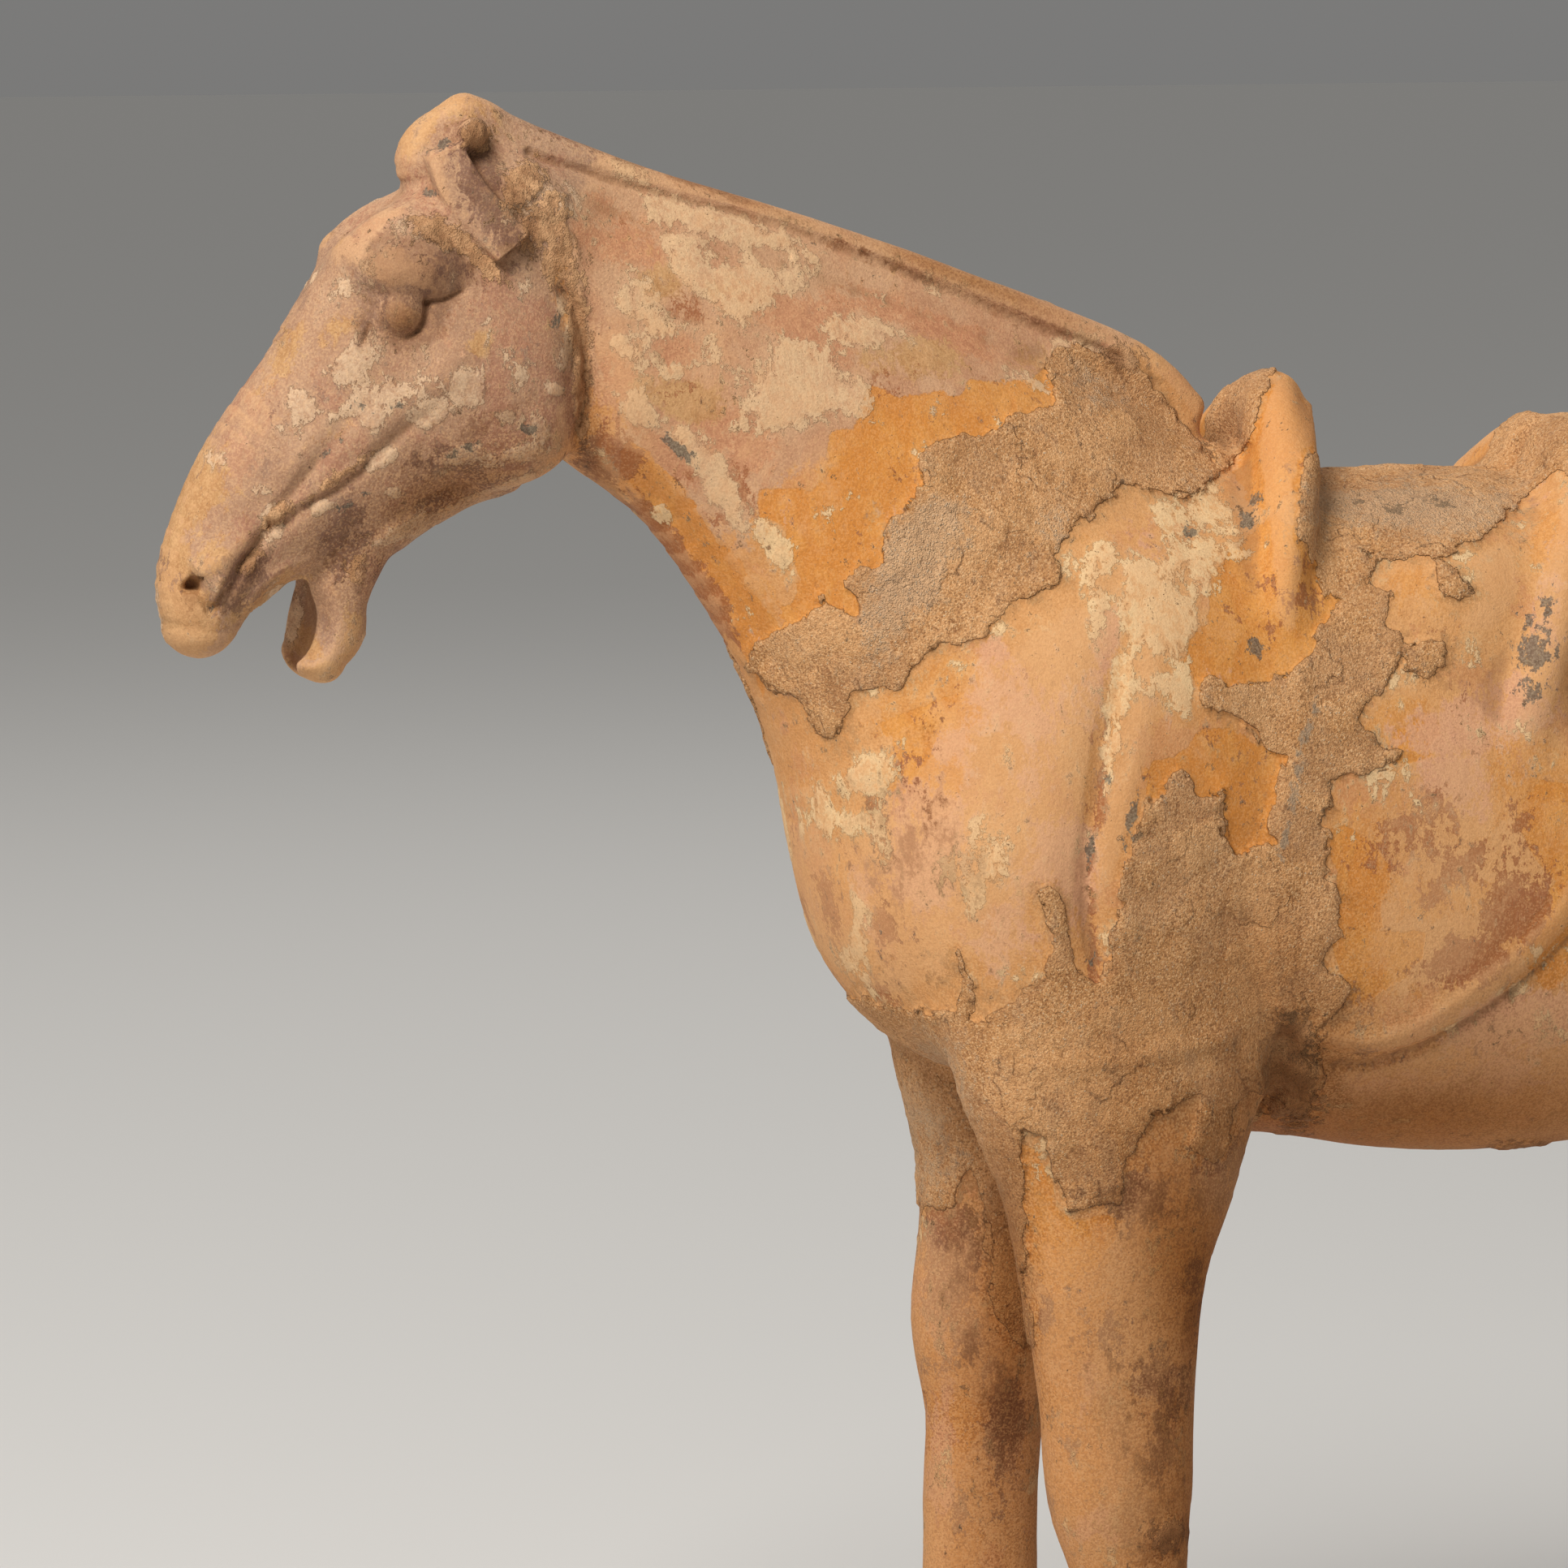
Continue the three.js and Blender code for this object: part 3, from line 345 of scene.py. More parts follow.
# Each step joins a form, or cuts it out, rounded over a blend
CUT = True
STEPS = [
    (trunk, 1), (breast, 24), (neck, 26), (croup, 20), (paired(shoulder), 18), (paired(haunch), 22),
    (paired(stifle), 20), (fore_near, 11), (fore_far, 11), (hind_near, 16), (hind_far, 16),
    (hoof(FORE_HOOF_NEAR, NEAR), 4), (hoof(FORE_HOOF_FAR, FAR), 4), (hoof(HIND_HOOF, NEAR), 4),
    (hoof(HIND_HOOF, FAR), 4), (tail, 8), (seat, 14), (skull, 7), (lower_jaw, 6), (jaw_edge, 6),
    (mouth, 3, CUT), (jaw_scoop, 2, CUT), (worn_rim, 2, CUT), (paired(cheek), 9), (paired(brow), 8),
    (paired(dome), 5), (paired(eyeball), 2), (paired(nostril_rim), 5), (paired(nostril), 1.5, CUT),
    (paired(throat_hollow), 8, CUT), (mane, 8), (forelock, 3.5), (paired(ear), 1.4),
    (paired(ear_stub), 2.5), (arched(pommel), 6), (arched(cantle), 8), (ground, 1, CUT)]
BLEND_REACH, BLEND_MARGIN = 2.5, 3  # how far outside its box a form still counts: blends and millimetres

FLAP = [
    (-86, 380), (-88, 330), (-95, 288), (-90, 248), (-62, 234), (-30, 246), (0, 274), (26, 320), (34, 372),
    (-26, 420)]
flap_rows = smooth_rows(FLAP, 4, closed=True)[:-1]
FLAP_EDGE, FLAP_RISE = 1.8, 2.4
FLAP_REACH = 12  # how far from its edge the flap is worked out
FLAP_SOFT = 12.0  # how much wider the edge's slope is at the front, where earth fills it
SOFT_ABOVE, SOFT_BEFORE, SOFT_FADE = 244, -50, 30

SHOULDER_LINE = [
    (-124.7, 365.3), (-130.5, 353.4), (-135.8, 339.2), (-140, 324.8), (-143.5, 307.4), (-145.9, 291.7),
    (-145.9, 278.8), (-143.2, 265.7), (-139, 259.5)]
CARVING = [
    # the shoulder: a soft hollow, the cut in it, and the edge of the upper arm
    groove(SHOULDER_LINE, 24, 1.2, 0.4, 0.2),
    groove(SHOULDER_LINE, 8, 1.3, 0.5, 0.05),
    groove([[x + 8, z] for x, z in SHOULDER_LINE], 14, -0.7, 0.5, 0.2),
    # the fold above the foreleg
    groove([(-174.5, 237), (-154.1, 236.7), (-131.5, 239.2), (-108.8, 241.2), (-95.1, 244.1)],
           9, -1.1, 0.3, 0.3),
    # the front of the neck, and the line under the mane
    groove([(-262, 400), (-240, 376), (-222, 350), (-213, 334)], 9, 1.4, 0.2, 0.2),
    groove([(-279.8, 473.4), (-270.4, 469.9), (-252.5, 465), (-240.8, 461.5), (-224.9, 457.5),
           (-202.8, 450.6), (-180.4, 442.2), (-157.8, 433.2), (-137.3, 424.6), (-116.4, 417.3)], 4.5, 1.3),
    groove([(-269, 466.5), (-240.6, 455.5), (-202.8, 445), (-169.1, 432.2), (-137.2, 419.5)],
           9, -0.5, 0.1, 0.1),
    # wrinkles beside the nose, the crest of the cheek and the line to the mouth's corner
    groove([(-329.6, 409.7), (-335.6, 400), (-341.2, 393.3), (-346.4, 387.3), (-350.3, 383.7)],
           5.5, 1.2, 0.5, 0.1),
    groove([(-331.9, 413.2), (-338.8, 404), (-345, 397), (-350, 391)], 9, -0.9, 0.4, 0.3),
    groove([(-304.5, 416.7), (-309.2, 410.4), (-316.4, 404.7), (-324.1, 398.1), (-330.6, 392),
           (-337.9, 387.6), (-346, 381.8), (-351.1, 378.8)], 5.5, 1.3, 0.5, 0.05),
    groove([(-299.6, 430), (-303, 423.5), (-309, 417), (-317, 410.8), (-325.5, 404), (-334, 397.5),
           (-341, 391)], 14, -1.3, 0.3, 0.3),
    groove([(-349.2, 384.1), (-353.2, 376.8), (-357.4, 371.2), (-359.6, 368.1), (-362.3, 363.5),
           (-365.1, 359.7), (-367.6, 357.9)], 5, 2.0, 0.1, 0.15),
    # the wing of the nostril, its hollow, and the raised edge of the lip
    groove([(-354.5, 382), (-359.5, 376), (-366, 371.5), (-370.5, 369.2)], 10, -1.5, 0.3, 0.1),
    groove([(-371.5, 365.5), (-368.7, 364.5), (-367, 362), (-367.4, 359.2)], 5, 1.5, 0.1, 0.3),
    groove([(-364.2, 368.5), (-364.4, 364), (-366, 360.5)], 3.5, -1.0, 0.2, 0.3),
    groove([(-335, 371), (-342, 370.4), (-348.5, 368), (-354.5, 362.4), (-356.8, 356.7)], 5, -0.9, 0.2, 0.2),
    # the jaw and the hollow behind the chin
    groove([(-298, 386.5), (-309.6, 382.8), (-318.9, 377.6), (-324.8, 370.4)], 6, -0.9, 0.3, 0.3),
    groove([(-293.7, 392), (-306.3, 386.8), (-320.6, 380.1)], 13, 1.2, 0.2, 0.2),
    # behind the cheek
    groove([(-277.8, 444.5), (-273, 438.2), (-269.2, 429.8), (-267.5, 421.4), (-267.1, 413), (-268.2, 405.7),
           (-270.6, 399.5)], 6, 2.0, 0.2, 0.2),
    # round the eye
    groove([(-323, 447), (-325.2, 439.8), (-325.8, 434), (-324.6, 430.4), (-327.2, 424)], 7, 0.7, 0.4, 0.1),
    groove([(-324.4, 432), (-325.2, 428.5), (-327.6, 423.5)], 2.6, 1.1, 0.2, 0.3),
    groove([(-310.4, 437.8), (-310.8, 433.5), (-312.6, 429.6), (-316.5, 427.4), (-320.5, 427.8)],
           3.2, 1.5, 0.1, 0.5),
    groove([(-312, 437), (-307, 437.1), (-302.5, 438.7), (-298.5, 441)], 3, 1.3, 0.1, 0.5),
    # under the edge of the saddle cloth
    groove([(-88, 241.5), (-79, 233), (-60, 230.5), (-38, 240.5), (-9, 265), (18, 304)], 6, 1.5, 0.2, 0.2),
    groove([(-80, 247), (-75, 240), (-61, 237.5), (-42, 247), (-14, 270), (12, 307)], 9, -0.8, 0.2, 0.2),
    # the crease behind the elbow
    groove([(-79, 249), (-84, 240.5), (-87.5, 235), (-85.7, 228), (-84, 222), (-89, 213)],
           13, 3.2, 0.25, 0.15)]
SPINE_CLEAR = 6.0  # carving fades out this close to the middle
CARVED = 12.0  # it is worked out this close to the surface


def distance(x, y, z):
    """The horse's distance field at drawn points, uncarved where it is far from the surface."""
    d = np.full(x.shape, NEVER)
    for form, blend, *cut in STEPS:
        m = BLEND_REACH * blend + BLEND_MARGIN
        near = ((x > form.low[0] - m) & (x < form.high[0] + m) & (y > form.low[1] - m)
                & (y < form.high[1] + m) & (z > form.low[2] - m) & (z < form.high[2] + m))
        if not near.any():
            continue
        other = form.at(x[near], y[near], z[near])
        d[near] = -join(-d[near], other, blend) if cut else join(d[near], other, blend)
    near = np.abs(d) < CARVED
    cx, cz = x[near], z[near]
    shown = ease(np.abs(y[near]) / SPINE_CLEAR)
    sunk = d[near]
    for sink in CARVING:
        sunk = sunk + sink(cx, cz) * shown
    front = ease((cz - SOFT_ABOVE) / SOFT_FADE) * ease((SOFT_BEFORE - cx) / SOFT_FADE)
    flap = ease(0.5 + inside_by(flap_rows, cx, cz, FLAP_REACH) / (FLAP_EDGE + FLAP_SOFT * front))
    d[near] = sunk - FLAP_RISE * flap * shown
    return d


def surface(low, high, step):
    """The zero surface of the distance field: points, and quads of their numbers."""
    block = 4
    near_spans = 1.5
    filled_in = -0.1
    size = np.ceil((high - low) / step / block).astype(int) * block
    span = block * step
    corner = np.indices(size // block).reshape(3, -1).T * block
    middle = low + corner * step + span / 2
    rough = in_parts(distance, middle)
    values = rough.reshape(size // block)
    for axis in range(3):
        values = np.repeat(values, block, axis)
    picked = corner[np.abs(rough) < near_spans * span]
    inner = np.indices((block,) * 3).reshape(3, -1).T
    index = (picked[:, None] + inner[None]).reshape(-1, 3)
    values[tuple(index.T)] = in_parts(distance, low + index * step)

    corners = [(c & 1, c >> 1 & 1, c >> 2) for c in range(8)]

    def cells():
        full = np.zeros(size - 1, np.int8)
        for dx, dy, dz in corners:
            full += values[dx:size[0] - 1 + dx, dy:size[1] - 1 + dy, dz:size[2] - 1 + dz] < 0
        return np.argwhere((full > 0) & (full < 8))

    # corners that would leave two sheets touching along an edge are filled in first
    faces = [[f, f | p, f | p | q, f | q] for p, q, r in ((1, 2, 4), (2, 4, 1), (4, 1, 2)) for f in (0, r)]
    while True:
        found = cells()
        v = np.stack([values[tuple((found + c).T)] for c in corners], 1)
        filled = False
        for a, b, c, d in faces:
            ia, ib, ic, id_ = (v[:, k] < 0 for k in (a, b, c, d))
            bad = (ia == ic) & (ib == id_) & (ia != ib)
            for k, other in ((a, ib), (b, ia)):
                spot = found[bad & other] + corners[k]
                values[tuple(spot.T)] = filled_in
                filled = filled or len(spot) > 0
        if not filled:
            break

    total = np.zeros((len(found), 3))
    count = np.zeros(len(found))
    for a in range(8):
        for bit in (1, 2, 4):
            if a & bit:
                continue
            b = a | bit
            cross = (v[:, a] < 0) != (v[:, b] < 0)
            t = np.where(cross, v[:, a] / np.where(cross, v[:, a] - v[:, b], 1), 0)
            ca, cb = np.array(corners[a]), np.array(corners[b])
            total += (ca + (cb - ca) * t[:, None]) * cross[:, None]
            count += cross
    points = low + (found + total / count[:, None]) * step
    number = np.full(size, -1, np.int32)
    number[tuple(found.T)] = np.arange(len(found))
    quads = []
    inside = values < 0
    for axis in range(3):
        one = np.zeros(3, int)
        one[axis] = 1
        b, c = np.roll(one, 1), np.roll(one, 2)
        here = inside[tuple(slice(0, s - o) for s, o in zip(size, one))]
        there = inside[tuple(slice(o, s) for s, o in zip(size, one))]
        for filled in (True, False):
            at = np.argwhere((here == filled) & (there != filled))
            quad = np.stack([number[tuple((at - k).T)] for k in (b + c, c, 0 * c, b)], 1)
            quads.append(quad if filled else quad[:, ::-1])
    return points, np.concatenate(quads)


def in_parts(function, p, part=300000):
    """function(x, y, z) of many points, some at a time."""
    return np.concatenate([function(*p[i:i + part].T) for i in range(0, len(p), part)])


def vertex_normals(points, tris):
    a, b, c = points[tris].transpose(1, 0, 2)
    face = np.cross(b - a, c - a)
    made = np.zeros_like(points)
    for k in range(3):
        for axis in range(3):
            made[:, axis] += np.bincount(tris[:, k], face[:, axis], len(points))
    return made / np.maximum(np.linalg.norm(made, axis=1, keepdims=True), 1e-12)


HASH = 73856093, 19349663, 83492791
HASH_TURN, HASH_SEED, HASH_LAST = 2654435761, 97, 2246822519
WORD, TOP = 0xFFFFFFFF, 0xFFFF
SEED_SHIFT, OCTAVE_SHIFT, FLAKE_SHIFT = 7.31, 3.7, 5.17


def scramble(n, seed):
    """A fixed random number from 0 to TOP for each whole-number place."""
    a, b, c = HASH
    h = n[:, 0] * a ^ n[:, 1] * b ^ n[:, 2] * c
    h = (h * HASH_TURN + seed * HASH_SEED) & WORD
    h = ((h >> 15) ^ h) * HASH_LAST & WORD
    return ((h >> 13) ^ h) & TOP


def noise(p, size, seed, octaves=1, rough=0.5):
    """Smooth random values from about -1 to 1 with features of the given size."""
    total = np.zeros(len(p))
    gain, all_gain = 1.0, 0.0
    for octave in range(octaves):
        q = p / size + seed * SEED_SHIFT + octave * OCTAVE_SHIFT
        base = np.floor(q).astype(np.int64)
        f = ease(q - base)
        value = np.zeros(len(p))
        for c in np.ndindex(2, 2, 2):
            bits = np.array(c[::-1])
            weight = np.prod(np.where(bits, f, 1 - f), axis=1)
            value += weight * (2 * scramble(base + bits, seed) / TOP - 1)
        total += gain * value
        all_gain += gain
        gain *= rough
        size = size / 2
    return total / all_gain


def flakes(p, size, seed):
    """A random value from -1 to 1 that is the same all over each small many-sided cell."""
    q = p / size + seed * FLAKE_SHIFT
    base = np.floor(q).astype(np.int64)
    best = np.full(len(p), np.inf)
    value = np.zeros(len(p))
    for c in np.ndindex(3, 3, 3):
        n = base + np.array(c) - 1
        h = [scramble(n, seed + k) / TOP for k in range(4)]
        d2 = sum((n[:, k] + h[k] - q[:, k]) ** 2 for k in range(3))
        closer = d2 < best
        best[closer] = d2[closer]
        value[closer] = h[3][closer] * 2 - 1
    return value


def refine(points, tris, wanted):
    """Triangles with each edge between wanted points cut in two."""
    edges = np.sort(np.concatenate([tris[:, [0, 1]], tris[:, [1, 2]], tris[:, [2, 0]]]), 1)
    keys, index = np.unique(edges[:, 0] * len(points) + edges[:, 1], return_inverse=True)
    a, b = keys // len(points), keys % len(points)
    cut = wanted[a] & wanted[b]
    number = np.where(cut, len(points) + np.cumsum(cut) - 1, -1)
    more = (points[a[cut]] + points[b[cut]]) / 2
    middle = number[index].reshape(3, -1).T
    code = ((middle >= 0) * [1, 2, 4]).sum(1)
    made = [tris[code == 0]]
    for turn in range(3):
        order = [turn, (turn + 1) % 3, (turn + 2) % 3]
        one = code == 1 << turn
        p, q, r = tris[one][:, order].T
        m = middle[one][:, order[0]]
        made += [np.stack([p, m, r], 1), np.stack([m, q, r], 1)]
        two = code == 7 - (1 << turn)
        p, q, r = tris[two][:, order].T
        m, n = middle[two][:, order[1]], middle[two][:, order[2]]
        made += [np.stack([r, n, m], 1), np.stack([n, p, m], 1), np.stack([p, q, m], 1)]
    p, q, r = tris[code == 7].T
    k, m, n = middle[code == 7].T
    made += [np.stack(t, 1) for t in ((p, k, n), (k, q, m), (m, r, n), (k, m, n))]
    return np.concatenate([points, more]), np.concatenate(made)


# Burial earth: outlines in the photograph's pixels, some of them past its edges. It shows on the far
# side too, shifted so that it isn't the same there.
EARTH = {
    "neck band": [
        (923, 821), (930, 788), (949, 779), (986, 769), (1018, 742), (1055, 759), (1042, 716), (1084, 696),
        (1097, 644), (1134, 617), (1137, 565), (1163, 542), (1216, 532), (1249, 509), (1288, 499),
        (1295, 440), (1302, 424), (1348, 430), (1387, 440), (1400, 463), (1446, 500), (1473, 535),
        (1497, 560), (1500, 591), (1479, 600), (1460, 606), (1427, 600), (1407, 606), (1384, 597),
        (1354, 617), (1334, 644), (1308, 663), (1298, 716), (1269, 736), (1236, 739), (1213, 785),
        (1163, 795), (1124, 818), (1111, 848), (1084, 851), (1055, 858), (1035, 887), (1028, 914),
        (1006, 900), (975, 861), (940, 845)],
    "pommel front": [
        (1494, 520), (1518, 479), (1545, 455), (1568, 449), (1560, 486), (1548, 525), (1532, 555),
        (1515, 580), (1496, 580)],
    "seat": [
        (1600, 590), (1601, 663), (1631, 673), (1657, 683), (1690, 690), (1736, 690), (1776, 683),
        (1822, 663), (1848, 644), (1881, 611), (1907, 584), (1927, 581), (1990, 590), (2060, 560),
        (2080, 480), (1900, 480), (1780, 550), (1610, 560)],
    "flap front": [
        (1601, 650), (1618, 683), (1624, 716), (1647, 742), (1631, 775), (1611, 808), (1585, 834),
        (1558, 841), (1512, 851), (1490, 838), (1473, 858), (1486, 871), (1525, 884), (1550, 905),
        (1562, 925), (1585, 933), (1580, 979), (1565, 1010), (1575, 1040), (1532, 1058), (1506, 1030),
        (1512, 979), (1479, 979), (1455, 945), (1413, 992), (1395, 1040), (1380, 1110), (1365, 1180),
        (1350, 1200), (1330, 1190), (1318, 1140), (1308, 1095), (1272, 1100), (1295, 1145), (1290, 1205),
        (1250, 1225), (1212, 1256), (1225, 1300), (1229, 1368), (1236, 1400), (1262, 1394), (1290, 1408),
        (1298, 1450), (1315, 1492), (1354, 1479), (1381, 1479), (1387, 1427), (1420, 1374), (1441, 1368),
        (1475, 1350), (1480, 1385), (1470, 1412), (1495, 1428), (1520, 1405), (1512, 1370), (1540, 1340),
        (1575, 1350), (1600, 1375), (1621, 1348), (1631, 1328), (1627, 1302), (1621, 1268), (1644, 1249),
        (1660, 1223), (1624, 1190), (1654, 1157), (1644, 1098), (1624, 1065), (1637, 1032), (1618, 1012),
        (1637, 993), (1631, 966), (1657, 956), (1710, 953), (1723, 927), (1697, 918), (1677, 887),
        (1700, 844), (1720, 821), (1723, 795), (1710, 769), (1716, 729), (1690, 716), (1697, 690),
        (1690, 672)],
    "flap flakes": [
        (1735, 800), (1775, 796), (1782, 820), (1760, 832), (1732, 826)],
    "seat drop": [
        (1770, 690), (1790, 705), (1812, 730), (1800, 745), (1778, 738), (1772, 715)],
    "far foreleg": [
        (1040, 1230), (1240, 1260), (1260, 1411), (1265, 1468), (1262, 1542), (1264, 1590), (1268, 1655),
        (1262, 1668), (1240, 1645), (1225, 1600), (1222, 1560), (1212, 1520), (1209, 1480), (1195, 1440),
        (1180, 1470), (1168, 1487), (1144, 1470), (1130, 1490), (1120, 1440), (1080, 1370)],
    "chest edge": [
        (1180, 1170), (1200, 1215), (1196, 1270), (1178, 1262), (1186, 1220)],
    "croup": [
        (2200, 560), (2300, 530), (2420, 560), (2520, 620), (2560, 720), (2500, 780), (2430, 760),
        (2380, 820), (2310, 800), (2290, 720), (2230, 690)],
    "thigh": [
        (2230, 1180), (2300, 1120), (2390, 1150), (2440, 1240), (2500, 1330), (2480, 1430), (2400, 1480),
        (2330, 1440), (2300, 1360), (2240, 1300)],
    "flank": [
        (1990, 1010), (2060, 980), (2110, 1040), (2090, 1130), (2030, 1170), (1995, 1100)],
    "hocks": [
        (2560, 1640), (2640, 1600), (2680, 1700), (2660, 1800), (2590, 1790), (2560, 1720)],
    "hooves": [
        (1150, 2290), (1400, 2260), (1420, 2330), (1600, 2360), (1500, 2480), (1150, 2480)],
    "hind hooves": [
        (2380, 2300), (2620, 2280), (2700, 2380), (2620, 2480), (2380, 2480)],
    "tail": [
        (2640, 620), (2720, 600), (2760, 700), (2740, 800), (2690, 760)]}

# Where the slip has kept its bright orange, with sharp edges
BRIGHT = {
    "neck": [
        (1031, 520), (1050, 530), (1074, 481), (1109, 493), (1150, 485), (1200, 470), (1260, 470),
        (1300, 440), (1330, 520), (1200, 600), (1137, 640), (1097, 720), (1060, 780), (1020, 760),
        (990, 790), (955, 785), (985, 740), (975, 700), (961, 644), (930, 630), (938, 600), (992, 605),
        (1023, 567), (1004, 551)],
    "throat": [
        (767, 535), (805, 559), (837, 605), (875, 660), (922, 714), (961, 761), (990, 800), (940, 850),
        (900, 784), (850, 722), (805, 660), (770, 600)],
    "under the pommel": [
        (1517, 675), (1545, 650), (1594, 644), (1625, 691), (1660, 738), (1650, 800), (1610, 840),
        (1563, 850), (1517, 860), (1478, 854), (1462, 815), (1485, 753), (1501, 707)],
    "pommel": [
        (1536, 520), (1563, 473), (1579, 450), (1610, 460), (1620, 536), (1605, 598), (1570, 629),
        (1540, 616), (1517, 582), (1532, 551)],
    "shoulder": [
        (1128, 878), (1190, 847), (1215, 870), (1190, 924), (1174, 1002), (1130, 1010), (1112, 960),
        (1097, 924), (1090, 880)],
    "window": [
        (1400, 940), (1460, 930), (1470, 905), (1500, 890), (1600, 930), (1600, 1060), (1497, 1060),
        (1480, 1000), (1412, 990)],
    "flap": [
        (1640, 1000), (1680, 1030), (1720, 1080), (1690, 1110), (1700, 1150), (1760, 1140), (1750, 1190),
        (1700, 1230), (1650, 1240), (1640, 1120)],
    "flap's middle": [
        (1700, 905), (1760, 880), (1800, 900), (1760, 930), (1720, 940)],
    "flap's right": [
        (1860, 1000), (1900, 960), (1960, 970), (1990, 1060), (1960, 1180), (1900, 1230), (1880, 1160),
        (1910, 1090)],
    "leg": [
        (1240, 1400), (1290, 1410), (1300, 1480), (1330, 1500), (1390, 1500), (1360, 1560), (1300, 1600),
        (1270, 1540), (1250, 1470)],
    "hip": [
        (2220, 900), (2300, 860), (2400, 880), (2450, 960), (2420, 1060), (2330, 1100), (2250, 1060),
        (2200, 980)]}

# Soft spots of each layer in the photograph's pixels: x, y, half width and half height, then the strength
# if it isn't 1, and last the turn in degrees, if there is one
CREAM = [
    (650, 245, 42, 30, 0.8, 20), (530, 297, 26, 10, 0.7, 25), (425, 452, 44, 18, 1, -35),
    (456, 510, 16, 16, 1.4), (578, 481, 22, 20, 1.4, -5), (534, 510, 20, 9, 1.5, -30),
    (574, 560, 20, 9, 1.2, -12), (468, 568, 24, 9, 1.5, -35), (394, 626, 12, 8, 1.1, -40),
    (334, 646, 18, 20, 1.3, -40), (560, 628, 100, 6, 1.5, -24), (374, 771, 10, 24, 1, 10),
    (268, 567, 10, 8, 1.1), (484, 606, 12, 8, 1.2), (686, 481, 9, 6, 1.4), (667, 531, 9, 12, 1.3),
    (320, 604, 12, 8, 1.1), (374, 500, 16, 24, 0.9, -30), (440, 500, 50, 14, 0.9, -20),
    (640, 560, 30, 10, 1, -20), (600, 500, 30, 8, 0.9, 30), (700, 395, 12, 40, 0.8),
    (894, 277, 90, 17, 1, 18), (848, 323, 26, 30), (927, 363, 48, 40, 1, 20), (788, 370, 45, 34, 0.9, 20),
    (815, 402, 34, 20, 0.9, 20), (1065, 409, 42, 18), (999, 468, 64, 34, 0.9, 30), (953, 508, 44, 30, 0.85),
    (835, 455, 22, 12, 0.9, -20), (762, 422, 16, 10, 0.9, 60), (788, 508, 22, 12, 1, 40),
    (887, 600, 66, 17, 1, 55), (953, 672, 46, 13, 0.95, 60), (742, 560, 26, 10, 0.8, 50),
    (815, 633, 12, 8, 0.8, 40), (1453, 716, 30, 90, 1, 8), (1400, 755, 16, 70, 0.95, 10),
    (1479, 676, 50, 28, 0.95), (1354, 742, 16, 60, 0.7, 5), (1492, 624, 22, 26, 0.9),
    (1440, 640, 16, 40, 0.8, -10), (1455, 820, 16, 50, 0.9, -5), (1380, 850, 12, 80, 0.8, 12),
    (1065, 953, 45, 20, 1, -35), (1018, 1012, 14, 42, 0.9, -12), (1051, 1012, 32, 18, 0.9),
    (1058, 1150, 14, 36, 0.95, -5), (1209, 1019, 34, 34, 0.55), (1229, 1065, 28, 40, 0.5),
    (1372, 900, 5, 60, 0.8, 8), (2140, 700, 60, 26, 0.9, -20), (2250, 930, 40, 60, 0.8, 20),
    (2480, 940, 60, 30, 0.9, 60), (2050, 760, 26, 60, 0.7, 10), (2420, 1600, 18, 60, 0.7, 10)]
PINK = [
    (1229, 808, 26, 26, 0.9), (1242, 861, 50, 36, 0.9, 20), (1183, 920, 30, 26, 0.9),
    (1290, 960, 50, 40, 0.5), (1321, 1060, 30, 80, 0.7), (1361, 795, 22, 90, 0.8, 8),
    (1782, 953, 64, 42, 0.7), (1775, 905, 70, 36, 0.9), (1880, 870, 44, 44, 0.6),
    (1887, 1256, 80, 34, 0.9, -10), (1780, 1340, 160, 30, 0.7, -5), (1060, 1100, 16, 60, 0.7, -10),
    (1150, 1060, 54, 76, 0.9, -10), (1230, 1140, 40, 50, 0.5), (1163, 1776, 18, 90, 0.9),
    (1150, 1560, 20, 70, 0.7), (1333, 1880, 60, 20, 0.6), (1340, 1730, 30, 60, 0.6),
    (1910, 770, 26, 60, 0.8, 10), (2150, 900, 90, 60, 0.7), (2300, 1020, 60, 110, 0.7, 20),
    (2080, 1330, 130, 40, 0.8), (2600, 900, 50, 120, 0.6)]
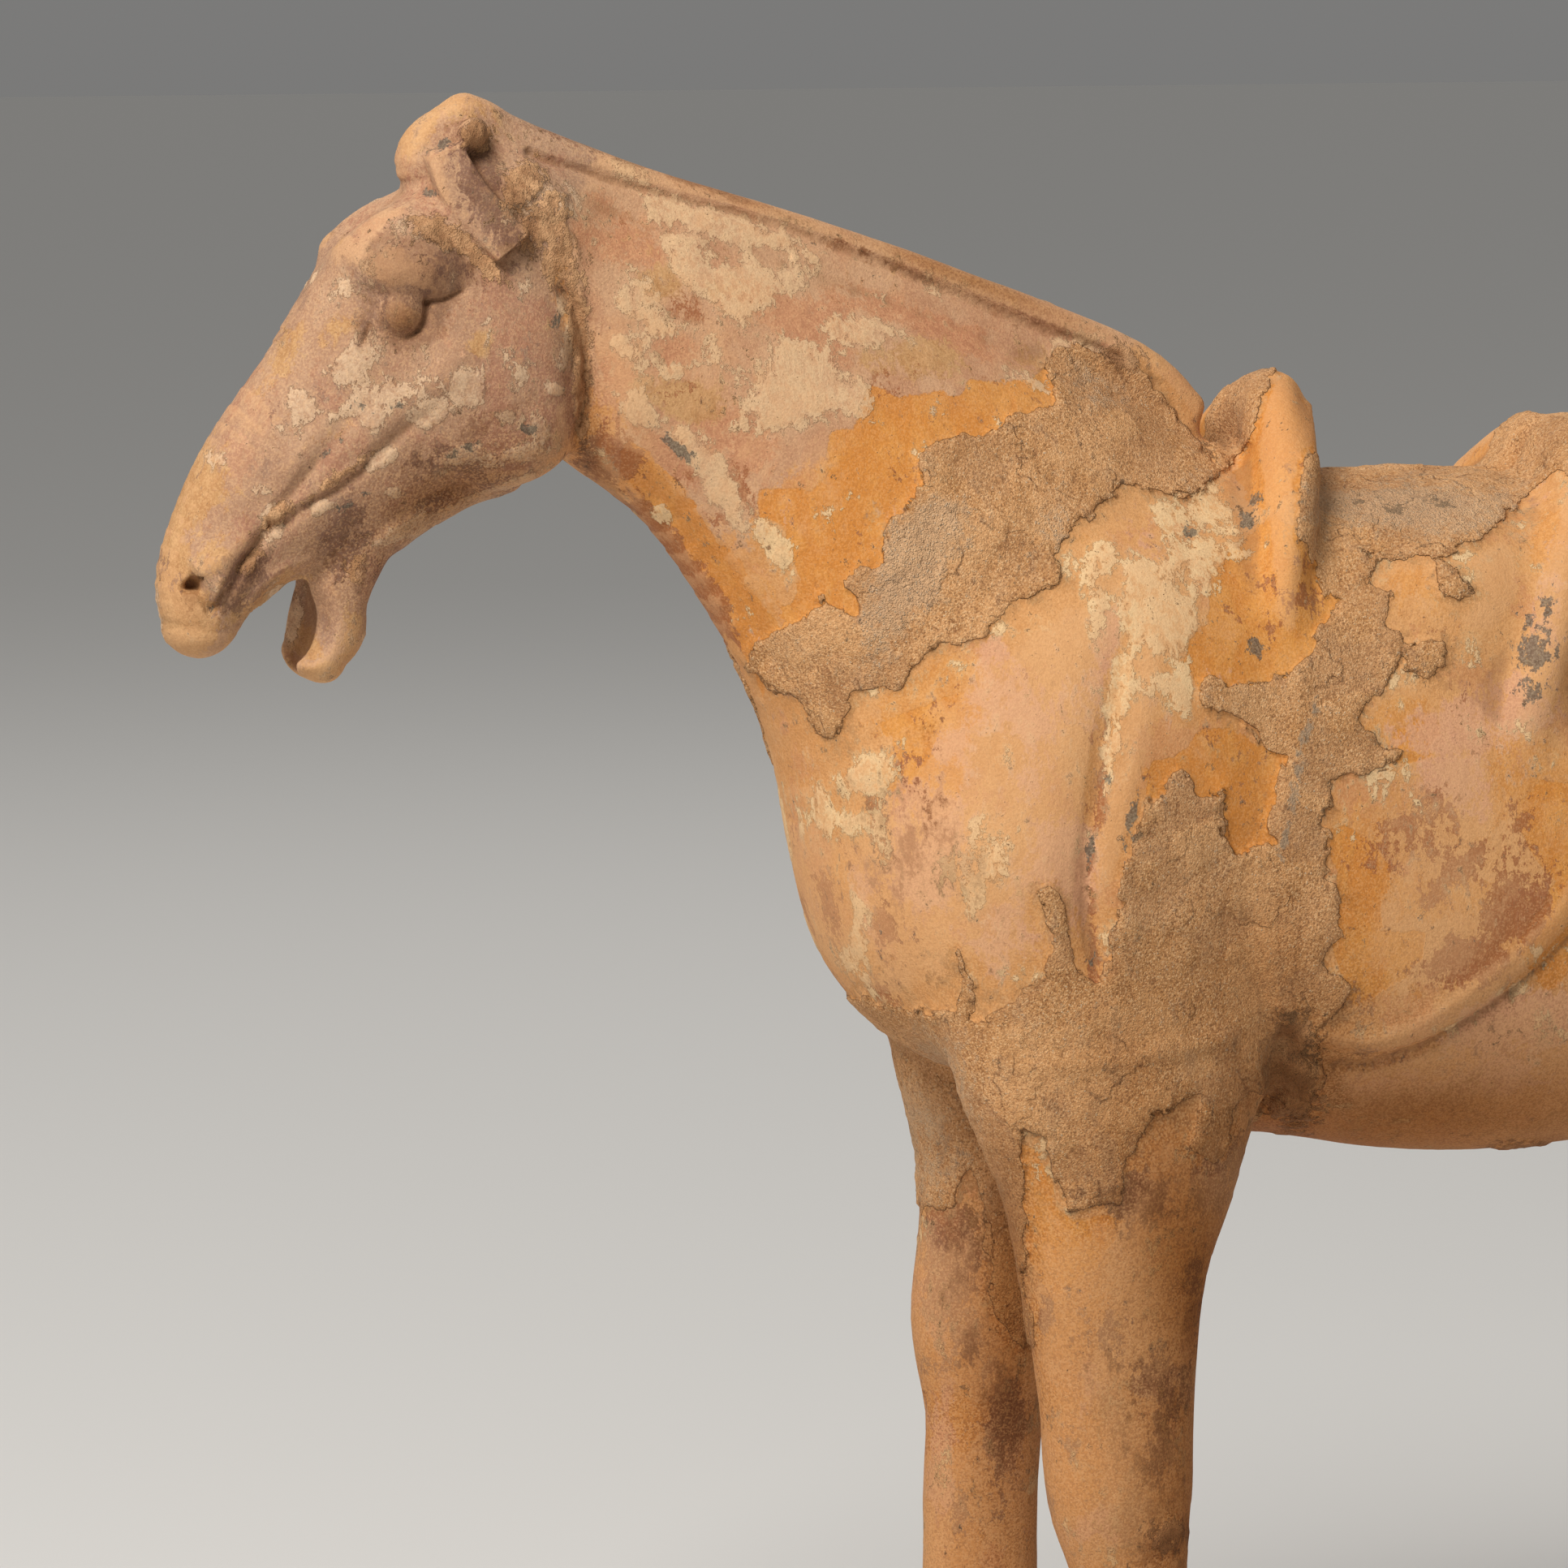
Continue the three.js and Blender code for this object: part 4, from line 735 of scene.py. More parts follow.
MAUVE = [
    (1790, 1190, 62, 26, 1, -12), (1850, 1130, 26, 50, 0.95, 25), (1745, 1015, 44, 24, 0.75),
    (1887, 1125, 24, 30, 0.85), (1830, 1180, 30, 30, 0.9), (1700, 1060, 30, 30, 0.5),
    (1810, 1060, 50, 16, 0.8, -30), (1770, 1100, 40, 12, 0.7, -20), (1870, 1010, 24, 30, 0.6),
    (1084, 1032, 11, 52, 0.8, -10), (1032, 1144, 12, 60, 0.9, -12), (1091, 1131, 13, 22, 0.9),
    (1078, 1223, 15, 42, 0.9, -30), (470, 350, 14, 40, 0.6), (1178, 1535, 44, 70),
    (1358, 980, 5, 110, 0.85, 5), (1345, 1110, 5, 80, 0.9, -2), (605, 260, 18, 66, 0.95, -28),
    (290, 745, 34, 10, 0.8, -30), (433, 659, 42, 40, 0.8, -30), (600, 600, 70, 20, 0.6, -22),
    (519, 626, 50, 22, 0.7, -25), (380, 501, 44, 18, 0.5, -30), (519, 337, 56, 34, 0.6),
    (560, 560, 70, 22, 0.7, -15), (470, 720, 22, 40, 0.8, 10), (290, 700, 40, 20, 0.6, -40),
    (225, 745, 12, 40, 0.7, -25), (610, 230, 14, 50, 0.6, -25), (752, 560, 40, 24, 1.3, 50),
    (800, 640, 56, 16, 1.4, 54), (868, 730, 70, 13, 1.3, 56), (907, 785, 34, 7, 0.8, 58),
    (940, 655, 60, 9, 0.7, 60), (870, 420, 60, 30, 0.45, 20), (1427, 1710, 46, 24, 1, 18),
    (1433, 1776, 28, 62), (1288, 1624, 8, 15, 0.9), (1361, 1644, 15, 20, 0.8), (1473, 1578, 8, 26, 0.8),
    (1321, 1795, 12, 15, 0.9), (1315, 1850, 24, 9, 0.8), (1420, 1470, 56, 30, 0.9),
    (1500, 1440, 30, 60, 0.8, 20), (1196, 1644, 15, 26, 0.95), (1150, 1510, 14, 60, 0.8),
    (1209, 1492, 12, 44, 0.9), (1232, 1743, 26, 66), (1145, 1600, 12, 30, 0.7), (1180, 1880, 16, 60, 0.6),
    (1300, 2080, 30, 40, 0.8), (1420, 2150, 20, 60, 0.8), (1350, 2300, 70, 30, 0.7),
    (2130, 1080, 60, 46, 0.8), (2350, 700, 70, 40, 0.6, 30), (2560, 1120, 40, 90, 0.8, -10),
    (2500, 1560, 26, 70, 0.9), (2560, 1900, 18, 60, 0.9), (2440, 1750, 20, 40, 0.7),
    (2480, 2300, 90, 30, 0.7), (2690, 880, 14, 60, 0.8), (2050, 1400, 90, 16, 0.6)]
ORANGE = [
    (1075, 560, 60, 60), (1110, 500, 60, 30, 1, -10), (1030, 660, 50, 60, 0.9, 30),
    (1230, 480, 60, 24, 0.6, -10), (1150, 850, 90, 34, 0.8, -20), (1120, 960, 26, 40),
    (1340, 690, 26, 60, 0.5, 10), (1560, 720, 46, 70), (1590, 760, 50, 40), (1520, 820, 40, 30, 0.9),
    (1540, 960, 40, 60, 0.9), (1500, 930, 30, 30, 0.8), (1570, 540, 22, 60, 1, 5), (1575, 620, 26, 40, 0.8),
    (1720, 890, 50, 22, 1, -20), (1740, 720, 60, 40, 0.6), (1880, 950, 50, 60, 0.8),
    (1680, 1030, 46, 40, 0.7), (1760, 1110, 90, 26, 0.7, -10), (1690, 1210, 80, 30, 0.7, 10),
    (1910, 660, 24, 50, 0.8, 10), (1270, 1480, 30, 70, 0.9, -15), (1310, 1600, 50, 110, 0.8),
    (1320, 1790, 50, 110, 0.75), (1180, 1770, 26, 110, 0.9), (1040, 1080, 18, 60, 0.8, -12),
    (1060, 1200, 26, 30, 0.8, -20), (930, 760, 34, 40, 0.8, 50), (900, 700, 20, 60, 0.7, -35),
    (1150, 1700, 18, 60, 0.8), (1190, 1900, 22, 60, 0.8), (1360, 1940, 60, 30, 0.6),
    (215, 640, 14, 80, 0.7, 25), (250, 780, 40, 24, 0.6, 30), (340, 430, 8, 120, 0.5, 38),
    (2200, 820, 80, 60, 0.8), (2420, 880, 60, 80, 0.9), (2080, 900, 50, 90, 0.8), (2350, 1060, 60, 60, 0.7),
    (2580, 780, 40, 80, 0.8), (2430, 1560, 30, 60, 0.8), (2540, 1780, 20, 60, 0.7)]
# where the surface is greyed: partly a real grey patina, as on the eye's dome, and partly painted shade, as
# under the jaw, behind the cheek, on the eyeball and in the elbow's crease
GREY_AND_SHADE = [
    (515, 333, 50, 36, 1.4), (500, 396, 30, 28, 1.5), (530, 388, 16, 26, 1, 20),
    (612, 245, 26, 64, 0.9, -28), (586, 172, 24, 26, 0.6), (455, 385, 14, 40, 0.6, 10),
    (433, 660, 50, 36, 0.35, -25), (300, 720, 14, 40, 0.7, 35), (560, 545, 90, 16, 0.5, -28),
    (700, 420, 14, 90, 0.4), (235, 734, 12, 24, 0.6), (270, 742, 10, 20, 0.5), (1428, 1480, 70, 36, 0.5, 10),
    (1410, 1690, 46, 18, 0.6, 25), (1434, 1770, 32, 80, 0.55), (1470, 1600, 14, 60, 0.5),
    (1180, 1530, 46, 70, 0.35), (1237, 1740, 24, 50), (1196, 1655, 14, 26, 0.7), (1440, 1900, 40, 30, 0.6),
    (1588, 1320, 28, 50, 0.4), (1586, 1265, 20, 20, 0.5), (1130, 1050, 70, 110, 0.42, -10),
    (1880, 1418, 60, 12, 0.5), (742, 600, 30, 60, 0.6, -40), (1370, 445, 20, 14, 0.7, 20),
    (1100, 325, 90, 5, 0.6, 24), (800, 205, 160, 5, 0.7, 20), (1290, 400, 100, 5, 0.6, 22),
    (2500, 1560, 30, 70, 0.7), (2150, 1120, 50, 40, 0.5), (2560, 1130, 40, 70, 0.6)]
# small dark stains
STAIN = [
    (1394, 1005, 6, 16, 1, 15), (1400, 1032, 9, 7, 0.9), (1388, 1040, 8, 6, 0.9),
    (1548, 795, 9, 13, 0.9, -15), (1506, 769, 9, 7, 0.8), (1473, 897, 8, 9, 0.9), (1462, 905, 5, 5, 0.8),
    (1535, 644, 11, 13, 0.8), (1466, 657, 13, 10, 0.8, 20), (1545, 615, 8, 10, 0.7),
    (1384, 443, 12, 8, 1, 20), (492, 501, 8, 6, 0.6), (965, 615, 3, 5, 1, 20), (960, 600, 14, 5, 0.5, -10),
    (930, 330, 5, 5, 0.5), (1364, 960, 5, 12, 0.9), (1342, 1045, 5, 14, 0.9, 10),
    (1345, 1180, 6, 10, 0.7, 20), (650, 528, 10, 8, 0.9), (687, 396, 6, 12, 0.9),
    (545, 179, 12, 7, 0.8, -20), (529, 238, 9, 5, 0.8, 20), (835, 552, 30, 6, 0.9, 42),
    (872, 392, 8, 6, 0.6), (870, 420, 5, 6, 0.7), (1598, 1310, 20, 60, 1, 5), (1590, 1260, 16, 20, 0.9),
    (1887, 800, 24, 34, 0.85, 20), (1907, 735, 9, 30, 0.8, 10), (1884, 850, 26, 10, 0.8, 10),
    (1677, 617, 14, 6, 0.7), (1716, 624, 16, 7, 0.7), (1776, 617, 14, 6, 0.7), (1820, 560, 20, 8, 0.6, -20),
    (2300, 900, 14, 9, 0.8), (2160, 1200, 12, 20, 0.8), (2450, 1050, 9, 16, 0.9), (1330, 2200, 14, 20, 0.7),
    (560, 560, 40, 8, 0.5, -20), (400, 560, 40, 5, 0.6, -38), (440, 615, 50, 5, 0.6, -35),
    (1627, 1010, 5, 60, 0.3, 12), (440, 500, 10, 5, 0.5)]
# where the surface is rough
LUMPY = [
    (515, 333, 46, 32), (530, 385, 26, 20, 0.9), (600, 470, 80, 60, 0.5, -20), (440, 500, 80, 40, 0.6, -30),
    (650, 480, 40, 80, 0.5), (400, 680, 60, 40, 0.6, -30), (250, 730, 40, 30, 0.7),
    (340, 650, 50, 40, 0.6, -40), (560, 170, 40, 30, 0.6), (1594, 1310, 34, 60, 1.6),
    (1470, 1190, 60, 60, 0.4)]
# grey streaks on the crust
BLUE = [
    (1610, 900, 5, 40, 1, 18), (1596, 970, 5, 40, 1, 10), (1582, 1040, 5, 36, 0.9, 12)]
# clods of mud with straw in them
MUD = [
    (712, 400, 10, 70, 1, -8), (716, 480, 8, 50, 0.9), (646, 226, 20, 24, 1, 30), (672, 275, 26, 34, 1, 20),
    (588, 168, 20, 22, 0.85), (1590, 1290, 22, 40, 0.9), (1440, 1890, 40, 22, 0.55),
    (548, 290, 40, 13, 1, 25), (590, 320, 34, 10, 0.9, 40), (690, 320, 22, 40, 0.9, -10),
    (340, 636, 26, 9, 0.9, -48), (310, 690, 20, 9, 0.7, -50), (400, 600, 60, 5, 0.7, -36),
    (440, 700, 12, 30, 0.6, 10), (1384, 440, 24, 14, 1, 20), (1590, 1330, 26, 50), (1880, 1418, 40, 8, 0.8)]
# painted shade: where the colours are darkened as if in shade, such as under the belly and the jaw, in the
# elbow's crease, behind the cheek and on the legs' shaded sides
SHADE_SPOTS = [
    (1600, 1330, 80, 120, 0.85), (1740, 1375, 240, 50, 0.95, -5), (1470, 1560, 50, 170, 1, -12),
    (1450, 1820, 36, 200, 0.6), (1560, 1180, 60, 90, 0.8), (1390, 1380, 50, 60, 0.35),
    (1410, 1600, 50, 130, 0.15, -10), (498, 394, 20, 18, 1.1), (1390, 1300, 60, 60, 0.45),
    (1190, 342, 150, 14, 1.3, 22), (880, 232, 160, 10, 1, 20), (560, 605, 120, 44, 1.2, -25),
    (433, 680, 60, 50, 0.7, -20), (1240, 1600, 26, 160, 0.7), (720, 520, 20, 90, 0.9),
    (1850, 1300, 120, 60, 0.4, -20)]
# where that painted shade is eased, so the colours are less dark than around
SHADE_EASED = [
    (1150, 1370, 60, 110), (1300, 1480, 40, 90, 0.5, -10), (1250, 1230, 60, 50, 0.5)]
# where the wash is redder
SALMON = [
    (760, 290, 60, 40, 0.7, 20), (960, 380, 110, 22, 1, 24), (860, 440, 40, 30, 0.8),
    (1010, 430, 60, 20, 0.9, 20), (820, 560, 60, 16, 0.9, 40), (900, 535, 60, 34, 1.2, 30),
    (760, 480, 30, 40, 0.6), (1150, 400, 90, 18, 0.8, 22), (980, 610, 24, 16, 0.8), (650, 420, 60, 60, 0.5),
    (560, 470, 50, 20, 0.5, -30), (300, 560, 24, 60, 0.6, 30)]
# where the slip shows through the wash
OCHRE = [
    (852, 497, 50, 26, 1, 10), (813, 357, 22, 20, 0.9), (890, 350, 18, 18, 0.7), (1130, 440, 60, 30, 0.8),
    (225, 770, 46, 44), (210, 690, 22, 60, 1, -15), (235, 610, 22, 70, 0.9, 25), (262, 690, 30, 24, 1, -30),
    (360, 420, 14, 60, 0.7, 32), (420, 400, 24, 16, 0.6, -30), (590, 425, 12, 14, 0.9),
    (505, 150, 24, 40, 0.9, 30), (560, 125, 40, 20, 0.6, 30), (400, 285, 30, 20, 0.6, -30),
    (395, 830, 40, 16, 0.9, -10), (430, 790, 14, 40, 0.8, 10), (330, 730, 50, 12, 0.9, -35),
    (385, 800, 20, 30, 0.8)]
# where the crust is sandy
COARSE = [
    (1120, 690, 44, 70, 1, 20), (1160, 640, 40, 30, 0.8), (1090, 760, 30, 40, 0.8), (1590, 1340, 30, 50),
    (1300, 640, 40, 50, 0.5, 30), (1480, 590, 20, 20, 0.6), (1350, 480, 40, 30, 0.6, 20),
    (1740, 625, 150, 34, 0.9), (1150, 1370, 50, 100, 0.8)]
# where brown dust lies
DUST = [
    (1440, 1150, 90, 110, 0.8), (1350, 1290, 200, 60, 0.8), (1180, 1230, 70, 60, 0.55),
    (1420, 1330, 120, 60, 0.9), (1430, 1560, 70, 60, 0.45, 30), (1420, 1480, 60, 40, 0.6),
    (1380, 1740, 60, 90, 0.5), (1380, 1870, 70, 40, 0.55), (1160, 1370, 60, 70, 0.9),
    (1230, 1560, 24, 60, 0.7), (1220, 1740, 20, 60, 0.5), (1720, 1360, 140, 40, 0.7),
    (1640, 1330, 50, 40, 0.8), (1760, 630, 120, 40, 0.8), (1540, 1020, 50, 80, 0.5),
    (1060, 1170, 20, 60, 0.4, -10), (1340, 2100, 80, 120, 0.6), (1180, 2150, 60, 120, 0.6),
    (1350, 2330, 200, 70, 0.8), (2520, 2000, 110, 90, 0.6), (2520, 2330, 200, 70, 0.8),
    (2300, 1400, 90, 110, 0.5), (2560, 1600, 50, 90, 0.6), (2000, 1400, 160, 36, 0.6)]


# Layers of spots that noise tears up: the spots, the noise's strength, its size in millimetres, its seed
TORN = {
    "cream": (CREAM, 0.9, 10, 41), "pink": (PINK, 0.7, 14, 42), "mauve": (MAUVE, 0.9, 11, 43),
    "orange": (ORANGE, 0.5, 16, 44), "stain": (STAIN, 0.5, 4, 45), "coarse": (COARSE, 0.4, 12, 46),
    "ochre": (OCHRE, 0.6, 14, 53), "grey_and_shade": (GREY_AND_SHADE, 0.4, 7, 54), "salmon": (SALMON, 0.6, 12, 55),
    "mud": (MUD, 0.4, 7, 35)}
SPOT_FALL = 0.7
EARTH_REACH, BRIGHT_REACH = 90, 40  # how far from their outlines these are worked out, in pixels
FAR_SHIFT, NOISE_SPREAD = 70.0, 1.6  # how far the layers are shifted on the far side, in pixels
# Millimetres: where that shift fades in, the size of its waves, and where the forelegs begin
FAR_FADE, SHIFT_SIZE = 30, 90
LEG_TOP, LEG_FADE, FORE_FADE, INNER_FADE = 250, 45, 40, 12


def spot(u, v, x, y, half_width, half_height, strength=1, turn=0):
    """How strongly points lie in one soft spot."""
    cos, sin = math.cos(math.radians(turn)), math.sin(math.radians(turn))
    p = ((u - x) * cos + (v - y) * sin) / half_width
    q = ((v - y) * cos - (u - x) * sin) / half_height
    return strength * np.exp(-SPOT_FALL * (p * p + q * q))


def spots(rows, u, v):
    """The strongest of the spots at each point."""
    total = np.zeros(u.shape)
    for row in rows:
        total = np.maximum(total, spot(u, v, *row))
    return total


def ragged(p, density, amount, size, seed):
    """A density broken up by noise, so that what is above a half is torn into islands and holes."""
    return density + amount * noise(p, size, seed, 3, 0.6)


def torn_spots(name, p, u, v):
    """A layer of spots, torn up."""
    rows, amount, size, seed = TORN[name]
    return ragged(p, spots(rows, u, v), amount, size, seed)


def layer_places(p):
    """The photograph's pixels by which points of the near or the far side take their layers."""
    u, v = photo_place(np.stack([p[:, 0], -np.abs(p[:, 1]), p[:, 2]], 1))
    away = ease(p[:, 1] / FAR_FADE)
    u = u + FAR_SHIFT * away * noise(p, SHIFT_SIZE, 11) * NOISE_SPREAD
    v = v + FAR_SHIFT * away * noise(p, SHIFT_SIZE, 12) * NOISE_SPREAD
    # the far foreleg's inner side shows in the photograph, and its outer side mirrors that
    leg_u, leg_v = photo_place(np.stack([p[:, 0], LEG_Y - np.abs(p[:, 1] - LEG_Y), p[:, 2]], 1))
    on_leg = ease((LEG_TOP - p[:, 2]) / LEG_FADE) * ease(-p[:, 0] / FORE_FADE - 0.5)
    on_leg = on_leg * ease(p[:, 1] / INNER_FADE)
    return u + (leg_u - u) * on_leg, v + (leg_v - v) * on_leg


def depth_inside(outlines, u, v, reach):
    """How far inside any of the outlines points lie, in millimetres."""
    return PIXEL * np.max([inside_by(outline, u, v, reach) for outline in outlines.values()], axis=0)


def earth_depth(p, u, v):
    """How far inside the earth's flaking edges points lie, in millimetres."""
    torn = 1.6 * noise(p, 13, 21, 2) + 1.1 * flakes(p, 6.5, 22)
    torn = torn + 0.8 * noise(p, 4, 23) + 0.5 * flakes(p, 2.8, 24)
    return depth_inside(EARTH, u, v, EARTH_REACH) + torn


def bright_depth(p, u, v):
    """How far inside the bright slip's edges points lie, in millimetres."""
    torn = 2.2 * noise(p, 14, 25, 3) + 1.4 * flakes(p, 7, 26) + 0.7 * flakes(p, 3, 27)
    return depth_inside(BRIGHT, u, v, BRIGHT_REACH) + torn


# Millimetres. The bare surface is sunk inside the solid, which leaves room for the earth.
SUNK, HEAD_SUNK = 0.75, 0.15
CRUST, MUD_RISE, FILM = 0.8, 0.75, 0.25


def relief(p):
    """How far the surface is raised at points of the part, in millimetres."""
    u, v = layer_places(p)
    earth = earth_depth(p, u, v)
    cover = ease(earth / 0.7 + 0.5)
    coarse = ease(2 * spots(COARSE, u, v))
    crumb = 0.34 * noise(p, 9, 32, 2) + (0.14 + 0.3 * coarse) * noise(p, 2.6, 33, 2)
    crumb = crumb + 0.24 * flakes(p, 12, 31)
    lip = 0.2 * ease((7 - earth) / 6) * ease(0.4 + 2 * noise(p, 14, 34))
    height = cover * (CRUST + crumb + lip)
    mud = torn_spots("mud", p, u, v)
    straw = 0.5 * noise(p * [1, 1, 0.5], 2.6, 36, 3, 0.7) + 0.35 * flakes(p * [0.7, 1, 1], 4, 39)
    height += ease((mud - 0.3) * 4) * (MUD_RISE + straw) * (1 - 0.5 * cover)
    height += FILM * ease((torn_spots("cream", p, u, v) - 0.45) * 9) * (1 - cover)
    height += spots(LUMPY, u, v) * (0.55 * noise(p, 5, 40, 3, 0.65) + 0.12 * flakes(p, 5, 39))
    sunk = SUNK + (HEAD_SUNK - SUNK) * ease((-230 - p[:, 0]) / 40)
    return height + 0.3 * noise(p, 26, 37, 2) + 0.12 * noise(p, 7, 38, 2) - sunk


def make_mesh(name, points, faces):
    mesh = bpy.data.meshes.new(name)
    mesh.vertices.add(len(points))
    mesh.vertices.foreach_set("co", np.ascontiguousarray(points, np.float32).ravel())
    sides = faces.shape[1]
    mesh.loops.add(faces.size)
    mesh.loops.foreach_set("vertex_index", np.ascontiguousarray(faces, np.int32).ravel())
    mesh.polygons.add(len(faces))
    mesh.polygons.foreach_set("loop_start", np.arange(0, faces.size, sides, dtype=np.int32))
    mesh.update(calc_edges=True)
    return mesh


def read_points(mesh):
    co = np.zeros(len(mesh.vertices) * 3, np.float32)
    mesh.vertices.foreach_get("co", co)
    return co.reshape(-1, 3).astype(float)


def set_layer(mesh, name, values):
    layer = mesh.attributes.new(name, "FLOAT", "POINT")
    layer.data.foreach_set("value", np.ascontiguousarray(values, np.float32))


TRIANGLES = 190000
# Lengths in millimetres, as drawn
STEP = 1.3
FIELD_LOW = np.array([-384, -74, -2.5 * STEP])
FIELD_HIGH = np.array([206.0, 74, 496])
HEAD_END, HEAD_TOP = -262.0, 330.0  # the head is finer: before this x and above this z
EDGE_BAND, EDGE_SIDE = 1.6, 12  # so is this much to both sides of the earth's edges, up to this y
PULL = 0.8  # the furthest that a point is moved to the surface
FLAT_BELOW, SOLE_FADE = 0.4, 4  # the soles are flat, and the relief fades in above them
BOX_MARGIN = 0.02  # how far all of it stays inside the solids' box

points, quads = surface(FIELD_LOW, FIELD_HIGH, STEP)
tris = np.concatenate([quads[:, [0, 1, 2]], quads[:, [0, 2, 3]]]).astype(np.int64)
placed = points + DRAWN_TO_PART
on_head = (points[:, 0] < HEAD_END) & (points[:, 2] > HEAD_TOP)
on_edge = (np.abs(earth_depth(placed, *layer_places(placed))) < EDGE_BAND) & (points[:, 1] < EDGE_SIDE)
points, tris = refine(points, tris, on_head | on_edge)
for _ in range(2):
    away = np.clip(in_parts(distance, points), -PULL, PULL)
    points -= vertex_normals(points, tris) * away[:, None]
points[:, 2] = np.where(points[:, 2] < FLAT_BELOW, 0, points[:, 2])
normals = vertex_normals(points, tris)
points += DRAWN_TO_PART
fade = ease((points[:, 2] - DRAWN_TO_PART[2]) / SOLE_FADE)
points += normals * (relief(points) * fade)[:, None]
low, high = np.array(cad_bounds) / MM
points = np.clip(points, low + BOX_MARGIN, high - BOX_MARGIN)

horse = bpy.data.objects.new("horse_figure", make_mesh("horse_figure", points * MM, tris))
bpy.context.scene.collection.objects.link(horse)
thin = horse.modifiers.new("thin", "DECIMATE")
thin.ratio = min(1, TRIANGLES / len(tris))
thin.use_collapse_triangulate = True
kept = bpy.data.meshes.new_from_object(horse.evaluated_get(bpy.context.evaluated_depsgraph_get()))
horse.modifiers.clear()
horse.data = kept
kept.name = "horse_figure"
kept.shade_smooth()


def hollows(mesh, points, rounds):
    """How deep points lie in hollows, negative on ridges, at a scale set by the rounds of smoothing."""
    edges = np.zeros(len(mesh.edges) * 2, np.int32)
    mesh.edges.foreach_get("vertices", edges)
    a, b = edges.reshape(-1, 2).T
    count = np.bincount(a, minlength=len(points)) + np.bincount(b, minlength=len(points))
    soft = points.copy()
    stays = 0.3
    for _ in range(rounds):
        total = np.stack([np.bincount(a, soft[b, c], len(points)) + np.bincount(b, soft[a, c], len(points))
                          for c in range(3)], 1)
        soft = stays * soft + (1 - stays) * total / np.maximum(count, 1)[:, None]
    way = np.zeros(len(points) * 3, np.float32)
    mesh.vertex_normals.foreach_get("vector", way)
    return ((soft - points) * way.reshape(-1, 3)).sum(1)


p = read_points(kept) / MM
u, v = layer_places(p)
earth = earth_depth(p, u, v)
# Where the head's and the neck's own colours lie, as outlines in the photograph's pixels
HEAD = [
    (760, 100), (690, 300), (715, 500), (640, 700), (100, 1000), (100, 60)]
NECK = [
    (560, 30), (1000, 150), (1440, 340), (1480, 470), (1380, 440), (1290, 500), (1010, 560), (930, 700),
    (760, 620), (700, 450)]
LOWER_FROM, LOWER_OVER = 950, 700  # painted shade: the lower parts are darker, from this height in pixels, over that many
FAR_OUT, OUTLINE_FADE = 80, 60
LIMIT = 9  # layers are cut off beyond this
crooked = p + 3 * np.stack([noise(p, 6, seed) for seed in (57, 58, 59)], 1)
hollow = 1.2 * hollows(kept, p, 8) + 0.3 * hollows(kept, p, 60)
LAYERS = {
    "earth": np.clip(earth, -8, 8),
    "bright": np.clip(bright_depth(p, u, v), -6, 6),
    # the deep layer is painted shade: darker towards the bottom and in the shade spots, eased in a few places
    "deep": 0.43 * ease((v - LOWER_FROM) / LOWER_OVER) + 0.5 * spots(SHADE_SPOTS, u, v) - 0.3 * spots(SHADE_EASED, u, v),
    "plate": 0.55 * flakes(p, 12, 31) + 0.6 * noise(p, 30, 56, 2),
    "chip": np.where(flakes(crooked, 13, 60) > 0.5, 1.0, -1.0),
    "blue": spots(BLUE, u, v),
    "dust": ragged(p, np.maximum(ease((earth + 9) / 14) * 0.7, spots(DUST, u, v)), 0.6, 18, 47),
    "head": inside_by(HEAD, u, v, FAR_OUT) / OUTLINE_FADE + 0.5 * noise(p, 30, 48, 2),
    "neck": inside_by(NECK, u, v, FAR_OUT) / OUTLINE_FADE + 0.8 * noise(p, 22, 49, 3),
    "tone": noise(p, 40, 50, 3, 0.6),
    "wear": noise(p, 15, 51, 3, 0.65),
    "hollow": np.clip(hollow, -2, 2) * ease(np.abs(earth) / 4) + 0.25 * noise(p, 8, 52, 2),
}
LAYERS.update({name: torn_spots(name, p, u, v) for name in TORN})
for name, values in LAYERS.items():
    set_layer(kept, name, np.clip(values, -LIMIT, LIMIT))


